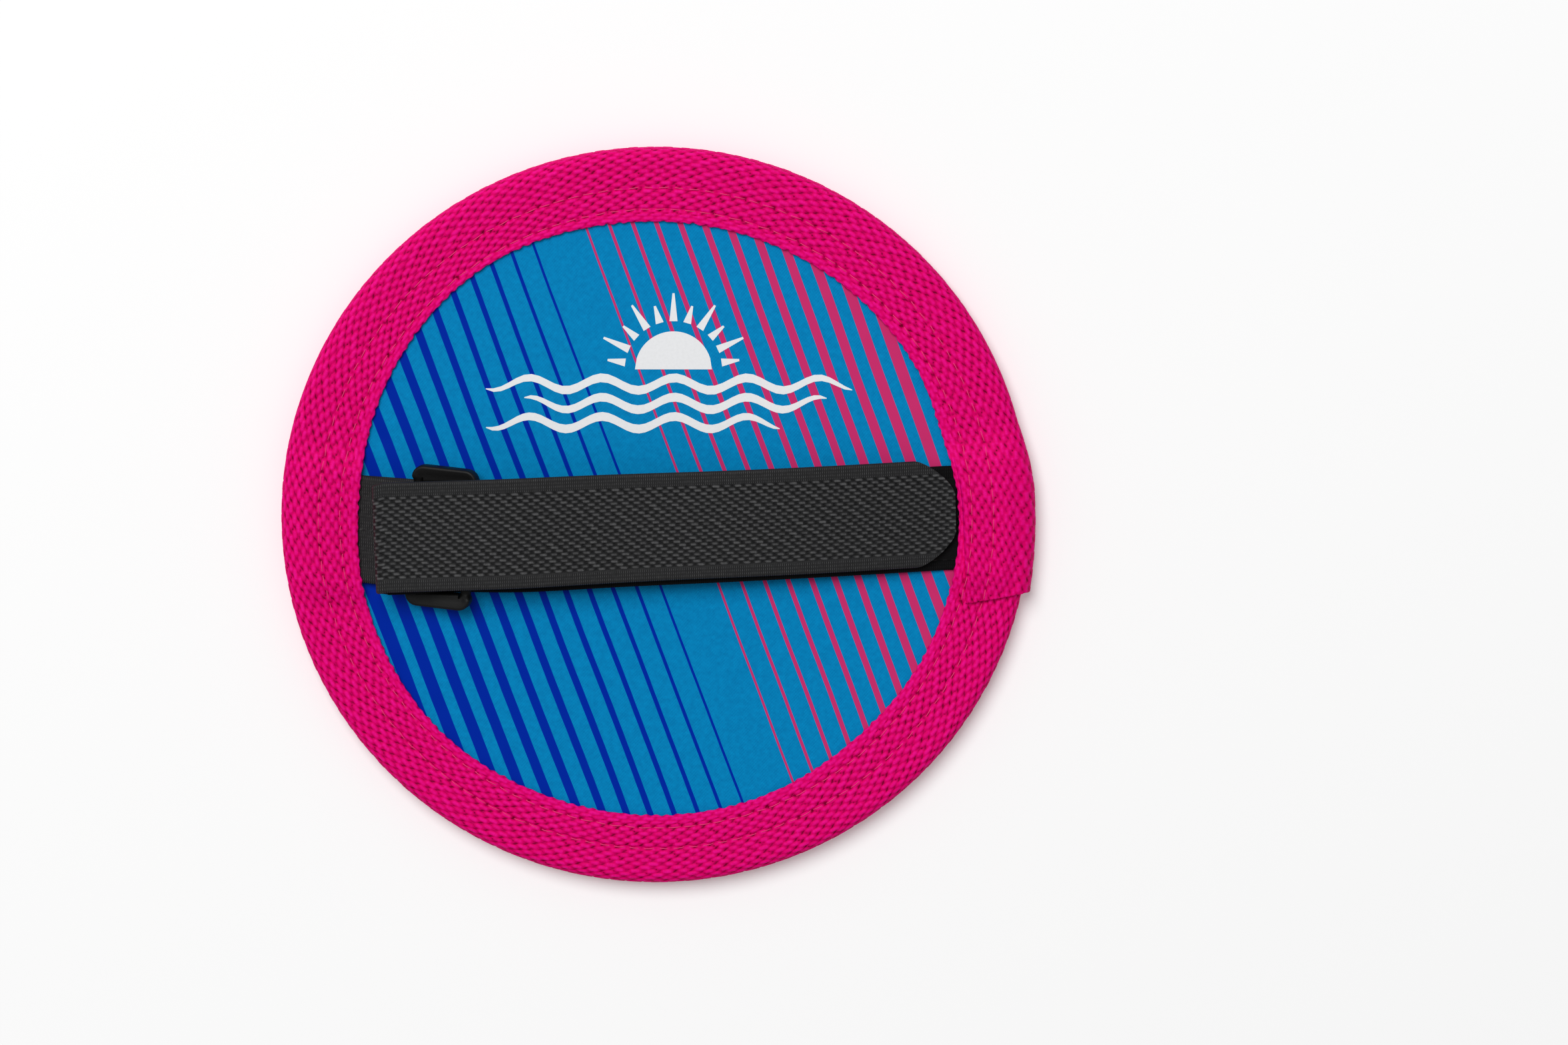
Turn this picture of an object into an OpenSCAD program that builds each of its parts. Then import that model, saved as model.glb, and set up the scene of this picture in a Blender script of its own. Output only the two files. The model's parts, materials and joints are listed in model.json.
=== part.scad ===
// Round catch paddle: hook face below, padded back above, webbing edge and a hand strap that closes over a ring
// X runs along the strap, Y across it, Z up from the catching side. The paddle lies on its catching side.

/* [Paddle] */
// Diameter over the edge binding
paddle_d = 177; // [150:1:200]
// How far the padded back rises at its middle
crown_h = 0.9; // [0.3:0.1:1.6]
// Distance from the binding to where the back starts to rise
crown_set = 4; // [3.5:0.5:12]

/* [Layers] */
// Thickness of the hook fabric's backing
hook_base_t = 0.6; // [0.4:0.1:1]
// Height of the hooks on the catching side
hook_h = 1.1; // [0.6:0.1:1.2]
// Room between the hook field and the binding
hook_field_gap = 0.5; // [0.2:0.1:3]
// Thickness of the stiffener board
board_t = 1.2; // [0.8:0.1:2]
// Thickness of the foam pad
foam_t = 3; // [2:0.2:6]
// Thickness of the printed back cover
cover_t = 0.6; // [0.4:0.1:1.2]

/* [Edge binding] */
// Thickness of the binding webbing
web_t = 1.3; // [1.2:0.1:1.8]
// Width of binding that shows on each face
lap_w = 17.2; // [16:0.2:22]
// Inside radius where the webbing turns round the rim
bend_r = 1.7; // [1:0.1:2]
// Polar angle at which the lapped end is cut off
tail_end = -14.5; // [-18:0.5:-14]
// Turn of the cut end away from a radius
tail_skew = 24; // [0:1:30]
// Distance of the lapped end's inner edge from the binding's inner edge
tail_inset = 0.8; // [0.4:0.1:1.6]
// Length over which the lapped end sinks back into the binding
tail_fade = 6; // [3:0.5:12]
// Length of the slopes beside each raised place
ramp_l = 4; // [2:0.5:6]

/* [Seams] */
// Distance of the outer seam from the rim
seam_outer_set = 9; // [7.5:0.1:10]
// Distance of the inner seam from the rim
seam_inner_set = 14.1; // [12:0.1:15]
// Length of one stitch
stitch_l = 2.4; // [1.5:0.1:3]
// Distance from stitch to stitch
stitch_pitch = 3.5; // [3.2:0.1:6]
// Width of the sewing thread
thread_w = 0.6; // [0.4:0.1:0.9]
// Height of the thread over the webbing
thread_h = 0.35; // [0.2:0.05:0.5]

/* [Hand strap] */
// Width of the strap
strap_w = 25.5; // [20:0.5:26]
// Thickness of the strap
strap_t = 1.2; // [0.8:0.1:1.6]
// Distance of the strap's middle line from the paddle's centre
strap_y = -1.4; // [-8:0.2:4]
// Turn of the strap from the X axis
strap_turn = 1.75; // [-3:0.05:4]
// Length of strap and tab held under the binding
tuck_l = 9; // [6:0.5:10]
// Length that lies flat on the back before the binding
mouth_l = 3; // [2.5:0.5:3]
// Rise of the strap's bow over a straight line
bow_h = 4.5; // [2:0.5:8]
// Distance of the fold from the binding's inner edge
fold_set = 7.8; // [7:0.2:9]
// Sideways shift of the folded-back flap
flap_shift = 2; // [0:0.1:2.5]
// Radius of the fold's middle line
fold_r = 2.05; // [1.9:0.05:2.4]
// Length past the ring over which the flap stays level
level_past = 6; // [4:0.5:10]
// Length over which the flap then comes down to the strap
sink_l = 42; // [30:1:50]
// How far the radius of the flap's tip exceeds half the strap's width
tip_ease = 0.5; // [0.4:0.1:8]
// Room between the flap's tip and the binding
tip_gap = 0.7; // [0.5:0.1:20]

/* [Closure] */
// Length of the hook patch under the flap
hook_patch_l = 42; // [20:1:60]
// Thickness of the hook patch
hook_patch_t = 0.5; // [0.3:0.1:0.8]
// Length of the loop strip on the strap
loop_strip_l = 62; // [30:1:80]
// Thickness of the loop strip
loop_strip_t = 0.5; // [0.3:0.1:0.8]
// Width of plain edge beside the hook patch and the loop strip
closure_edge = 3; // [2:0.5:5]

/* [Buckle ring] */
// Width of the ring along the strap
ring_w = 16; // [14:0.5:17]
// Room beside the strap inside the ring
ring_side_play = 1.1; // [1:0.1:5]
// Thickness of the ring's end walls
ring_t = 3; // [2.7:0.1:3.6]
// Width of the ring's end walls
ring_wall = 3; // [2.4:0.1:3.2]
// Radius of the ring's outer corners
ring_corner = 3; // [2:0.2:3.2]
// Height of the raised edge on the end walls
lip_h = 0.4; // [0.2:0.1:0.6]
// Width of the raised edge on the end walls
lip_w = 0.7; // [0.5:0.1:1]
// Diameter of the ring's bars
bar_d = 2.5; // [2:0.1:2.6]
// Height of the tab bar over the back
bar_lift = 2.8; // [2.6:0.1:4]
// Tilt of the ring
ring_tilt = 15; // [12:0.5:18]
// Turn of the ring and its tab from the X axis
ring_turn = -3.8; // [-6:0.1:4]
// Distance of the tab bar from the binding's inner edge
ring_set = 14.8; // [14:0.2:16]
// Thickness of the tab webbing
tab_t = 0.8; // [0.6:0.1:1]
// Distance of the tab's middle line from the paddle's centre, at the binding
tab_y = -1.5; // [-6:0.1:0]

/* [Fits] */
// Room between the tab's loop and its bar
bar_play = 0.08; // [0.04:0.01:0.1]
// Room beside the strap and tab under the binding
side_play = 0.15; // [0.1:0.05:0.5]
// Room between the strap and the ring's bars
strap_play = 0.6; // [0.5:0.1:1]
// Gap between the hook patch and the loop strip
close_gap = 0.3; // [0.2:0.05:0.6]
// Gap between the fold and the flap
hinge_gap = 0.05; // [0.02:0.01:0.2]
// Room between the layers' edge and the binding's bend
core_gap = 0.1; // [0.05:0.05:0.5]

/* [Hidden] */

$fn = 128;
arc_steps = 6;
crown_steps = 14;
bow_steps = 36;
rise_steps = 14;
level_steps = 6;
// Amount by which a cut or a joined solid reaches past the face it meets
over = 0.5;
// Step over which a slope is measured
slope_step = 0.2;
// Flat room outside the outer seam on a raised place of the binding
seam_room = 3;
// Distance of a bar's surface from the ring's outside
bar_margin = 0.25;
// Angle up to which the lapped end follows the round of the rim
tail_round = 75;
// Turn of the plane that thins the lapped end out, past the end of its slope
tail_lean = 4;

webbing_pink = [0.80, 0.02, 0.38];
cover_blue = [0.02, 0.47, 0.68];
hook_black = [0.09, 0.09, 0.10];
strap_black = [0.18, 0.18, 0.18];
plastic_black = [0.07, 0.07, 0.08];
foam_grey = [0.75, 0.75, 0.73];
board_grey = [0.55, 0.53, 0.50];
thread_pink = [0.93, 0.45, 0.58];

// Radii of the rim and of the layers, and heights of the stack
rim_r = paddle_d / 2;
inner_r = rim_r - lap_w;
corner_r = bend_r + web_t;
core_r = rim_r - corner_r - core_gap;
crown_r = inner_r - crown_set;
board_z = web_t + hook_base_t;
foam_z = board_z + board_t;
cover_z = foam_z + foam_t;
deck_z = cover_z + cover_t;
rim_h = deck_z + web_t;
flange_z = deck_z + web_t / 2;

// Raised places of the binding over the strap and over the tab
strap_rise = strap_t;
tab_rise = 2 * tab_t;
strap_saddle_w = strap_w / 2 + side_play + web_t;
tab_saddle_w = strap_w / 2 + side_play + web_t;
shoulder_r = rim_r - seam_outer_set + seam_room;

// Ring and tab
bar_inset = bar_d / 2 + bar_margin;
bar_gap = ring_w - 2 * bar_inset;
ring_half = strap_w / 2 + ring_side_play;
ring_l = 2 * (ring_half + ring_wall);
bar_z = deck_z + bar_lift;
bar_x = -inner_r + ring_set * cos(ring_turn);
bar_y = tab_y + ring_set * sin(ring_turn);
loop_in = bar_d / 2 + bar_play;
loop_out = loop_in + tab_t;
tab_mouth = ring_set - mouth_l + over;

// Places along the strap, measured from the paddle's centre
lift_s = inner_r - mouth_l;
fold_s = -(inner_r - fold_set);
tip_s = inner_r - tip_gap;
tip_r = strap_w / 2 + tip_ease;
near_bar_s = strap_place(bar_x, bar_y);
far_bar_s = strap_place(
    bar_x + bar_gap * cos(ring_tilt) * cos(ring_turn),
    bar_y + bar_gap * cos(ring_tilt) * sin(ring_turn)
);

// Heights of the strap's middle: on the back, under the far bar, over the tab bar and at the fold
lie_z = deck_z + strap_t / 2;
under_z = bar_z + bar_gap * sin(ring_tilt) - bar_d / 2 - strap_play - strap_t / 2;
over_z = bar_z + loop_out + strap_play + strap_t / 2;
near_bar_q = (far_bar_s - near_bar_s) / (far_bar_s - fold_s);
fold_z = under_z + (over_z - under_z) / ease(near_bar_q);

// The flap that lies level from the fold to past the ring
layer_gap = strap_t + loop_strip_t + close_gap + hook_patch_t;
level_s = far_bar_s + level_past;
level_z = fold_z + 2 * fold_r;

bow_s = [for (i = [0:bow_steps]) lift_s + (far_bar_s - lift_s) * i / bow_steps];
rise_s = [for (i = [1:rise_steps]) far_bar_s + (fold_s - far_bar_s) * i / rise_steps];
band_s = concat([inner_r + tuck_l], bow_s, rise_s);
flap_s = concat(
    [for (i = [0:level_steps]) fold_s + hinge_gap + (level_s - fold_s - hinge_gap) * i / level_steps],
    [for (i = [bow_steps:-1:0]) if (bow_s[i] > level_s + over) bow_s[i]],
    [tip_s]
);

// Distance along the strap of a point of the plan
function strap_place(x, y) = x * cos(strap_turn) + (y - strap_y) * sin(strap_turn);

// Smooth step from 0 to 1
function ease(q) = let (c = min(max(q, 0), 1)) c * c * (3 - 2 * c);

// Height of the strap's middle: flat, then a bow, then up through the ring to the fold
function band_z(s) =
    let (q = (lift_s - s) / (lift_s - far_bar_s))
    s >= lift_s ? lie_z :
    s >= far_bar_s ? lie_z + (under_z - lie_z) * q + bow_h * sin(180 * q) :
    under_z + (fold_z - under_z) * ease((far_bar_s - s) / (far_bar_s - fold_s));

// Height of the flap's middle: level from the fold to past the ring, then down to lie along the strap
function flap_z(s) =
    let (close_z = band_z(s) + layer_gap)
    s <= level_s ? level_z : max(close_z, level_z + (close_z - level_z) * ease((s - level_s) / sink_l));

// Points of a line of heights, moved off it along its normal
function along(places, height, off) = [
    for (s = places)
        let (slope = (height(s + slope_step / 2) - height(s - slope_step / 2)) / slope_step)
        [s - off * slope / sqrt(1 + slope * slope), height(s) + off / sqrt(1 + slope * slope)]
];

function reversed(list) = [for (i = [len(list) - 1:-1:0]) list[i]];

// Points of a circular arc
function arc(x, y, r, from, to) = [
    for (i = [0:arc_steps])
        let (a = from + (to - from) * i / arc_steps)
        [x + r * cos(a), y + r * sin(a)]
];

// Angle of the tangent point on a circle, seen from a point outside it
function tangent_angle(p, c, r, side) =
    atan2(p[1] - c[1], p[0] - c[0]) + side * acos(r / norm(p - c));

function on_circle(c, r, a) = [c[0] + r * cos(a), c[1] + r * sin(a)];

// Height of the padded surface over its own edge
function crown(r) = crown_h * (1 - pow(min(r, crown_r) / crown_r, 2));

crown_line = [for (i = [0:crown_steps]) let (r = crown_r * i / crown_steps) [r, crown(r)]];

function raised(line, z) = [for (p = line) [p[0], p[1] + z]];

module strap_frame() {
    translate([0, strap_y, 0]) rotate([0, 0, strap_turn]) children();
}

module ring_frame() {
    translate([bar_x, bar_y, 0]) rotate([0, 0, ring_turn]) children();
}

// Extrudes a shape of the strap's side view across the strap
module across(width) {
    rotate([90, 0, 0]) linear_extrude(height = width, center = true) children();
}

// Extrudes a shape seen along the strap, from one place to another
module lengthwise(from, to) {
    translate([from, 0, 0]) rotate([90, 0, 90]) linear_extrude(height = to - from) children();
}

// A flat layer that follows a line of heights, between two distances from it
module ribbon(places, height, low, high, width) {
    across(width)
        polygon(concat(along(places, height, high), reversed(along(places, height, low))));
}

// Revolves a profile, with the seam of the surface turned away from the strap's ends
module revolve() {
    rotate([0, 0, 90]) rotate_extrude() children();
}

module disc(r, from, to) {
    translate([0, 0, from]) cylinder(r = r, h = to - from);
}

module catch_face() {
    color(hook_black) {
        disc(core_r, web_t, board_z);
        disc(inner_r - hook_field_gap, web_t - hook_h, web_t + hook_base_t / 2);
    }
}

module stiffener_board() {
    color(board_grey) disc(core_r, board_z, foam_z);
}

module foam_pad() {
    color(foam_grey) revolve()
        polygon(concat(raised(crown_line, cover_z), [[core_r, cover_z], [core_r, foam_z], [0, foam_z]]));
}

module back_cover() {
    color(cover_blue) revolve()
        polygon(concat(
            raised(crown_line, deck_z),
            [[core_r, deck_z], [core_r, cover_z]],
            reversed(raised(crown_line, cover_z))
        ));
}

// The webbing's outside, filled
module rim_body() {
    revolve() polygon(concat(
        [[inner_r, 0]],
        arc(rim_r - corner_r, corner_r, corner_r, -90, 0),
        arc(rim_r - corner_r, rim_h - corner_r, corner_r, 0, 90),
        [[inner_r, rim_h]]
    ));
}

// The space between the webbing's two laps
module rim_cavity() {
    revolve() polygon(concat(
        [[inner_r - over, web_t]],
        arc(rim_r - corner_r, corner_r, bend_r, -90, 0),
        arc(rim_r - corner_r, rim_h - corner_r, bend_r, 0, 90),
        [[inner_r - over, deck_z]]
    ));
}

// Raised part of the binding's upper lap, as far as the slopes given as its child
module saddle(rise) {
    intersection() {
        revolve() polygon([
            [inner_r + side_play, flange_z], [inner_r + side_play, rim_h + rise + over],
            [shoulder_r, rim_h + rise + over], [rim_r - corner_r, rim_h - over], [rim_r - corner_r, flange_z]
        ]);
        children();
    }
}

// Slopes at both sides of a saddle
module saddle_slopes(rise, half_w) {
    foot_t = half_w + ramp_l * (1 + over / rise);
    polygon([
        [-foot_t, rim_h - over], [-half_w, rim_h + rise], [half_w, rim_h + rise], [foot_t, rim_h - over],
        [foot_t, deck_z], [-foot_t, deck_z]
    ]);
}

// The webbing's end, lapped over its own start above the strap's anchor
module lapped_tail() {
    top_z = rim_h + strap_rise + web_t;
    low_z = rim_h + web_t;
    half_w = strap_saddle_w + over;
    foot_t = half_w + ramp_l;
    far_t = foot_t + tail_fade;
    cut_at = on_circle([0, 0], rim_r - lap_w / 2, tail_end);
    fade_angle = asin((far_t + strap_y) / rim_r) + tail_lean;
    difference() {
        intersection() {
            revolve() polygon(concat(
                [
                    [inner_r + tail_inset, flange_z], [inner_r + tail_inset, top_z + over],
                    [shoulder_r, top_z + over]
                ],
                reversed(arc(rim_r - corner_r, rim_h - corner_r, corner_r + web_t, 0, tail_round)),
                [
                    [rim_r + web_t, web_t], [rim_r - web_t / 2, web_t], [rim_r - web_t / 2, rim_h - corner_r],
                    [rim_r - corner_r + web_t / 2, flange_z]
                ]
            ));
            strap_frame() lengthwise(inner_r - lap_w, rim_r + lap_w) polygon([
                [-2 * foot_t, 0], [-2 * foot_t, low_z], [-foot_t, low_z], [-half_w, top_z], [half_w, top_z],
                [foot_t, low_z], [far_t, rim_h - over], [far_t, 0]
            ]);
        }
        translate([cut_at[0], cut_at[1], 0]) rotate([0, 0, tail_end + tail_skew])
            translate([-rim_r / 2, -rim_r, -over]) cube([rim_r, rim_r, 2 * top_z]);
        rotate([0, 0, fade_angle])
            translate([rim_r - side_play, -rim_r / 2, -over]) cube([rim_r / 2, rim_r, 2 * top_z]);
    }
}

// Room for a strap end under the binding
module tuck_pocket(length, thickness) {
    translate([0, -strap_w / 2 - side_play, deck_z - over])
        cube([length + side_play, strap_w + 2 * side_play, thickness + over]);
}

// Groove that keeps the underside's thread off the ground
module thread_groove(r) {
    revolve() translate([r - thread_w / 2 - side_play, -over])
        square([thread_w + 2 * side_play, thread_h + side_play / 2 + over]);
}

module edge_binding() {
    color(webbing_pink) difference() {
        union() {
            rim_body();
            saddle(strap_rise)
                strap_frame() lengthwise(0, rim_r) saddle_slopes(strap_rise, strap_saddle_w);
            saddle(tab_rise)
                ring_frame() lengthwise(-rim_r, 0) saddle_slopes(tab_rise, tab_saddle_w);
            lapped_tail();
        }
        rim_cavity();
        strap_frame() tuck_pocket(inner_r + tuck_l, strap_t);
        ring_frame() mirror([1, 0, 0]) tuck_pocket(ring_set + tuck_l, 2 * tab_t);
        thread_groove(rim_r - seam_outer_set);
        thread_groove(rim_r - seam_inner_set);
    }
}

// Top of the binding at a point of a seam, or undef on a slope, where the thread dips in
function seam_z(p) =
    let (
        across_strap = (p[1] - strap_y) * cos(strap_turn) - p[0] * sin(strap_turn),
        across_tab = (p[1] - bar_y) * cos(ring_turn) - (p[0] - bar_x) * sin(ring_turn),
        off = p[0] > 0 ? across_strap : across_tab,
        half_w = (p[0] > 0 ? strap_saddle_w : tab_saddle_w) - stitch_l / 2,
        slope_end = half_w + ramp_l + 2 * stitch_l + (p[0] > 0 ? tail_fade : 0)
    )
    abs(off) > slope_end ? rim_h :
    abs(off) > half_w ? undef :
    p[0] > 0 ? rim_h + strap_rise + web_t : rim_h + tab_rise;

// One stitch: flat where it lies on the webbing, rounded off on its outside
module stitch(r, angle) {
    half_w = thread_w / 2;
    turn = stitch_l / r * 180 / PI;
    rotate([0, 0, angle - turn / 2]) rotate_extrude(angle = turn) translate([r, 0]) polygon([
        [-half_w, 0], [half_w, 0], [half_w, thread_h / 2],
        [half_w / 2, thread_h], [-half_w / 2, thread_h], [-half_w, thread_h / 2]
    ]);
}

module top_seam(r) {
    count = floor(2 * PI * r / stitch_pitch);
    for (i = [0:count - 1]) {
        angle = 360 * i / count;
        z = seam_z(on_circle([0, 0], r, angle));
        if (!is_undef(z)) translate([0, 0, z]) stitch(r, angle);
    }
}

module bottom_seam(r) {
    count = floor(2 * PI * r / stitch_pitch);
    for (i = [0:count - 1])
        translate([0, 0, thread_h + side_play / 2]) mirror([0, 0, 1]) stitch(r, 360 * (i + 0.5) / count);
}

module outer_seam_top_thread() {
    color(thread_pink) top_seam(rim_r - seam_outer_set);
}

module inner_seam_top_thread() {
    color(thread_pink) top_seam(rim_r - seam_inner_set);
}

module outer_seam_bottom_thread() {
    color(thread_pink) bottom_seam(rim_r - seam_outer_set);
}

module inner_seam_bottom_thread() {
    color(thread_pink) bottom_seam(rim_r - seam_inner_set);
}

// Drop-shaped side view of the tab's loop round the bar, with the given radius
module tab_drop(r, low, high) {
    c = [0, bar_z];
    low_angle = tangent_angle(low, c, r, 1);
    high_angle = tangent_angle(high, c, r, -1);
    translate(c) circle(r = r);
    polygon([low, on_circle(c, r, low_angle), c, on_circle(c, r, high_angle), high]);
}

module strap_tab() {
    pinch = [-tab_mouth + over, deck_z + tab_t];
    color(strap_black) ring_frame() across(strap_w) {
        difference() {
            tab_drop(loop_out, [-tab_mouth, deck_z], [-tab_mouth, deck_z + 2 * tab_t]);
            tab_drop(loop_in, pinch, pinch);
        }
        translate([-ring_set - tuck_l, deck_z]) square([ring_set + tuck_l - tab_mouth, 2 * tab_t]);
    }
}

// Outline of the ring's end wall, drawn in by an inset on its three outer sides
module end_wall_outline(inset, inner_t) {
    left = -bar_inset + inset;
    right = ring_w - bar_inset - inset;
    top = ring_l / 2 - inset;
    r = min(ring_corner, ring_wall) - inset;
    polygon(concat(
        [[left, inner_t], [right, inner_t]],
        arc(right - r, top - r, r, 0, 90),
        arc(left + r, top - r, r, 90, 180)
    ));
}

module end_wall() {
    translate([0, 0, -ring_t / 2]) linear_extrude(height = ring_t) end_wall_outline(0, ring_half);
    translate([0, 0, ring_t / 2 - over]) linear_extrude(height = lip_h + over) difference() {
        end_wall_outline(0, ring_half);
        end_wall_outline(lip_w, ring_half - over);
    }
}

module ring_bar(at) {
    translate([at, 0, 0]) rotate([90, 0, 0]) cylinder(d = bar_d, h = 2 * ring_half + ring_wall, center = true);
}

module buckle_ring() {
    color(plastic_black) ring_frame() translate([0, 0, bar_z]) rotate([0, -ring_tilt, 0]) {
        end_wall();
        mirror([0, 1, 0]) end_wall();
        ring_bar(0);
        ring_bar(bar_gap);
    }
}

module hand_band() {
    color(strap_black) strap_frame()
        ribbon(band_s, function(s) band_z(s), -strap_t / 2, strap_t / 2, strap_w);
}

module loop_strip() {
    end_s = lift_s - loop_strip_l;
    places = concat([for (s = bow_s) if (s > end_s + over) s], [end_s]);
    color(hook_black) strap_frame()
        ribbon(places, function(s) band_z(s), strap_t / 2, strap_t / 2 + loop_strip_t, strap_w - 2 * closure_edge);
}

module strap_fold() {
    out_r = fold_r + strap_t / 2;
    color(strap_black) strap_frame() translate([fold_s, flap_shift / 2, fold_z + fold_r])
        across(strap_w) difference() {
            circle(r = out_r);
            circle(r = fold_r - strap_t / 2);
            translate([0, -2 * out_r]) square(4 * out_r);
        }
}

// Plan of the flap's length with its rounded tip, drawn in by an inset
module flap_plan(from, inset) {
    half_w = strap_w / 2 - inset;
    tip_c = tip_s - tip_r;
    r = tip_r - inset;
    translate([from, -half_w]) square([tip_c + sqrt(r * r - half_w * half_w) - from, 2 * half_w]);
    translate([tip_c, 0]) circle(r = r);
}

module strap_flap() {
    color(strap_black) strap_frame() translate([0, flap_shift, 0]) intersection() {
        ribbon(flap_s, function(s) flap_z(s), -strap_t / 2, strap_t / 2, strap_w + 2 * over);
        linear_extrude(height = 2 * level_z) flap_plan(fold_s - over, 0);
    }
}

module hook_patch() {
    start_s = tip_s - hook_patch_l;
    places = concat([start_s], [for (s = flap_s) if (s > start_s + over) s]);
    color(hook_black) strap_frame() translate([0, flap_shift, 0]) intersection() {
        ribbon(places, function(s) flap_z(s), -strap_t / 2 - hook_patch_t, -strap_t / 2, strap_w);
        linear_extrude(height = 2 * level_z) flap_plan(start_s - over, closure_edge);
    }
}

catch_face();
stiffener_board();
foam_pad();
back_cover();
edge_binding();
outer_seam_top_thread();
inner_seam_top_thread();
outer_seam_bottom_thread();
inner_seam_bottom_thread();
strap_tab();
buckle_ring();
hand_band();
loop_strip();
strap_fold();
strap_flap();
hook_patch();
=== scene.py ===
"""Dresses the catch paddle: woven binding, sewn seams, printed padded back, hook face, ring and hand strap.

Lengths are in millimetres until a mesh is made. X runs along the strap, Y across it, and Z up from the
catching side. In names, L is a length, W a width, T a thickness, H a height, R a radius, D a diameter, and a
SET lies in from an edge.
"""
import json
import math

import bmesh
import bpy
import numpy as np
from mathutils import Matrix, Vector


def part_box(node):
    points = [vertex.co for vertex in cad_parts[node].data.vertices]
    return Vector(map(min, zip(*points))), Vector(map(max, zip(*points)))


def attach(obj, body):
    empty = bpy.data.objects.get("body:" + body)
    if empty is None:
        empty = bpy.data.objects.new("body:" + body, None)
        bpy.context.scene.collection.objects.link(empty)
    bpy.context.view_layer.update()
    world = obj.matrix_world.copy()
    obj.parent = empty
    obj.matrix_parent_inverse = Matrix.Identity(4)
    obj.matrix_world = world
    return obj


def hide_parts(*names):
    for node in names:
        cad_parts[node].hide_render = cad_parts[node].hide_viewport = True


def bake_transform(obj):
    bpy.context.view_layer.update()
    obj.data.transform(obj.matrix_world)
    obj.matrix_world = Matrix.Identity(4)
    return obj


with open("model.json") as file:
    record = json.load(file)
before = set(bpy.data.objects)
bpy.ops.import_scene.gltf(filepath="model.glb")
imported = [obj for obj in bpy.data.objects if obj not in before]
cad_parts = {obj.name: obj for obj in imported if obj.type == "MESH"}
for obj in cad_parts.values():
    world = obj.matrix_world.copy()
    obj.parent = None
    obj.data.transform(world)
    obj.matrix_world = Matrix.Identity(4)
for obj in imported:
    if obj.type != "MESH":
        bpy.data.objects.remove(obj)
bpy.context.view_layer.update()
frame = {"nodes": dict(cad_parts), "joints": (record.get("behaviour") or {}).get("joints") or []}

MM = 0.001
TAU = 2 * np.pi

# Sizes of the solids that their boxes and joints don't give
WEB_T = 1.3
LAP_W = 17.2
CORNER_R = 3.0
SEAM_SETS = (9.0, 14.1)
STITCH_PITCH = 3.5
CROWN_SET = 4.0
SADDLE_HALF = 12.95
RAMP_L = 7.0
SHOULDER_SETS = (6.0, 2.0)
STRAP_W = 25.5
STRAP_T = 1.2
TAB_T = 0.8
TUCK_L = 9.0
MOUTH_L = 3.0
BOW_H = 4.5
FLAP_SHIFT = 2.0
LEVEL_PAST = 6.0
SINK_L = 42.0
CLOSE_GAP = 0.3
STRAP_PLAY = 0.6
CLOSURE_EDGE = 3.0
PATCH_L = 42.0
PATCH_T = 0.5
PILE_L = 62.0
PILE_T = 0.5
RING_L = 33.7
RING_T = 3.0
RING_WALL = 3.0
RING_TILT = math.radians(15)
BAR_D = 2.5
BAR_GAP = 13.0
BAR_PLAY = 0.08


def node_box(node):
    """Lowest and highest corner of a solid, in millimetres."""
    low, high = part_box(node)
    return np.array(low) / MM, np.array(high) / MM


def hinge(name):
    """A hinge's point in millimetres, and the turn in plan of the line square to its axis."""
    found = next(j for j in frame["joints"] if j["name"] == name)
    return np.array(found["pos_m"]) / MM, math.atan2(found["axis"][0], -found["axis"][1])


# Places taken from the frame
rim_r = -node_box("edge_binding")[0][0]
inner_r = rim_r - LAP_W
core_r = node_box("stiffener_board")[1][0]
deck_z = node_box("strap_tab")[0][2]
rim_h = deck_z + WEB_T
crown_h = node_box("back_cover")[1][2] - deck_z
crown_r = inner_r - CROWN_SET
hook_tip_z = node_box("catch_face")[0][2]
foam_z = node_box("foam_pad")[0][2]
fold_at, strap_turn = hinge("flap_peel")
bar_at, ring_turn = hinge("ring_tilt")
fold_low_z = node_box("strap_fold")[0][2] + STRAP_T / 2
level_z = node_box("strap_fold")[1][2] - STRAP_T / 2
fold_s = fold_at[0] / math.cos(strap_turn)
strap_at = np.array([0.0, fold_at[1] - fold_s * math.sin(strap_turn)])
strap_line = (strap_at, strap_turn)
ring_line = (bar_at, ring_turn)

# Shared formulas

SCATTER_STEPS = (12.9898, 78.233)
SCATTER_SPREAD = 43758.5453


def smooth(value):
    """Smooth step: 0 up to 0, 1 from 1 on, with level ends between."""
    q = np.clip(value, 0, 1)
    return q * q * (3 - 2 * q)


def bell(value):
    """Bell curve: 1 at 0, falling away on both sides."""
    return np.exp(-(value ** 2))


def scatter(first, second):
    """An uneven number from -1 to 1 for each pair of whole numbers: the sine of large steps of both."""
    return np.sin(SCATTER_STEPS[0] * first + SCATTER_STEPS[1] * second)


def plan(s, t, origin, turn):
    """X and Y of a place s along and t across a line through origin at that turn."""
    return (
        origin[0] + s * math.cos(turn) - t * math.sin(turn),
        origin[1] + s * math.sin(turn) + t * math.cos(turn),
    )


def off_line(x, y, origin, turn):
    """How far along and across such a line a place in plan is: the inverse of plan."""
    along = (x - origin[0]) * math.cos(turn) + (y - origin[1]) * math.sin(turn)
    across = (y - origin[1]) * math.cos(turn) - (x - origin[0]) * math.sin(turn)
    return along, across


def run_lengths(line):
    """Length run along a line of points, from the first to each of them."""
    return np.concatenate([[0], np.cumsum(np.linalg.norm(np.diff(line, axis=0), axis=1))])


def points_along(line, runs, place):
    """Values of a line at places along it, each column interpolated between the line's points."""
    return np.stack([np.interp(place, runs, line[:, n]) for n in range(line.shape[1])], -1)


# Meshes

SHARP_DEGREES = 65
WELD_WITHIN_M = 1e-7


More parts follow.
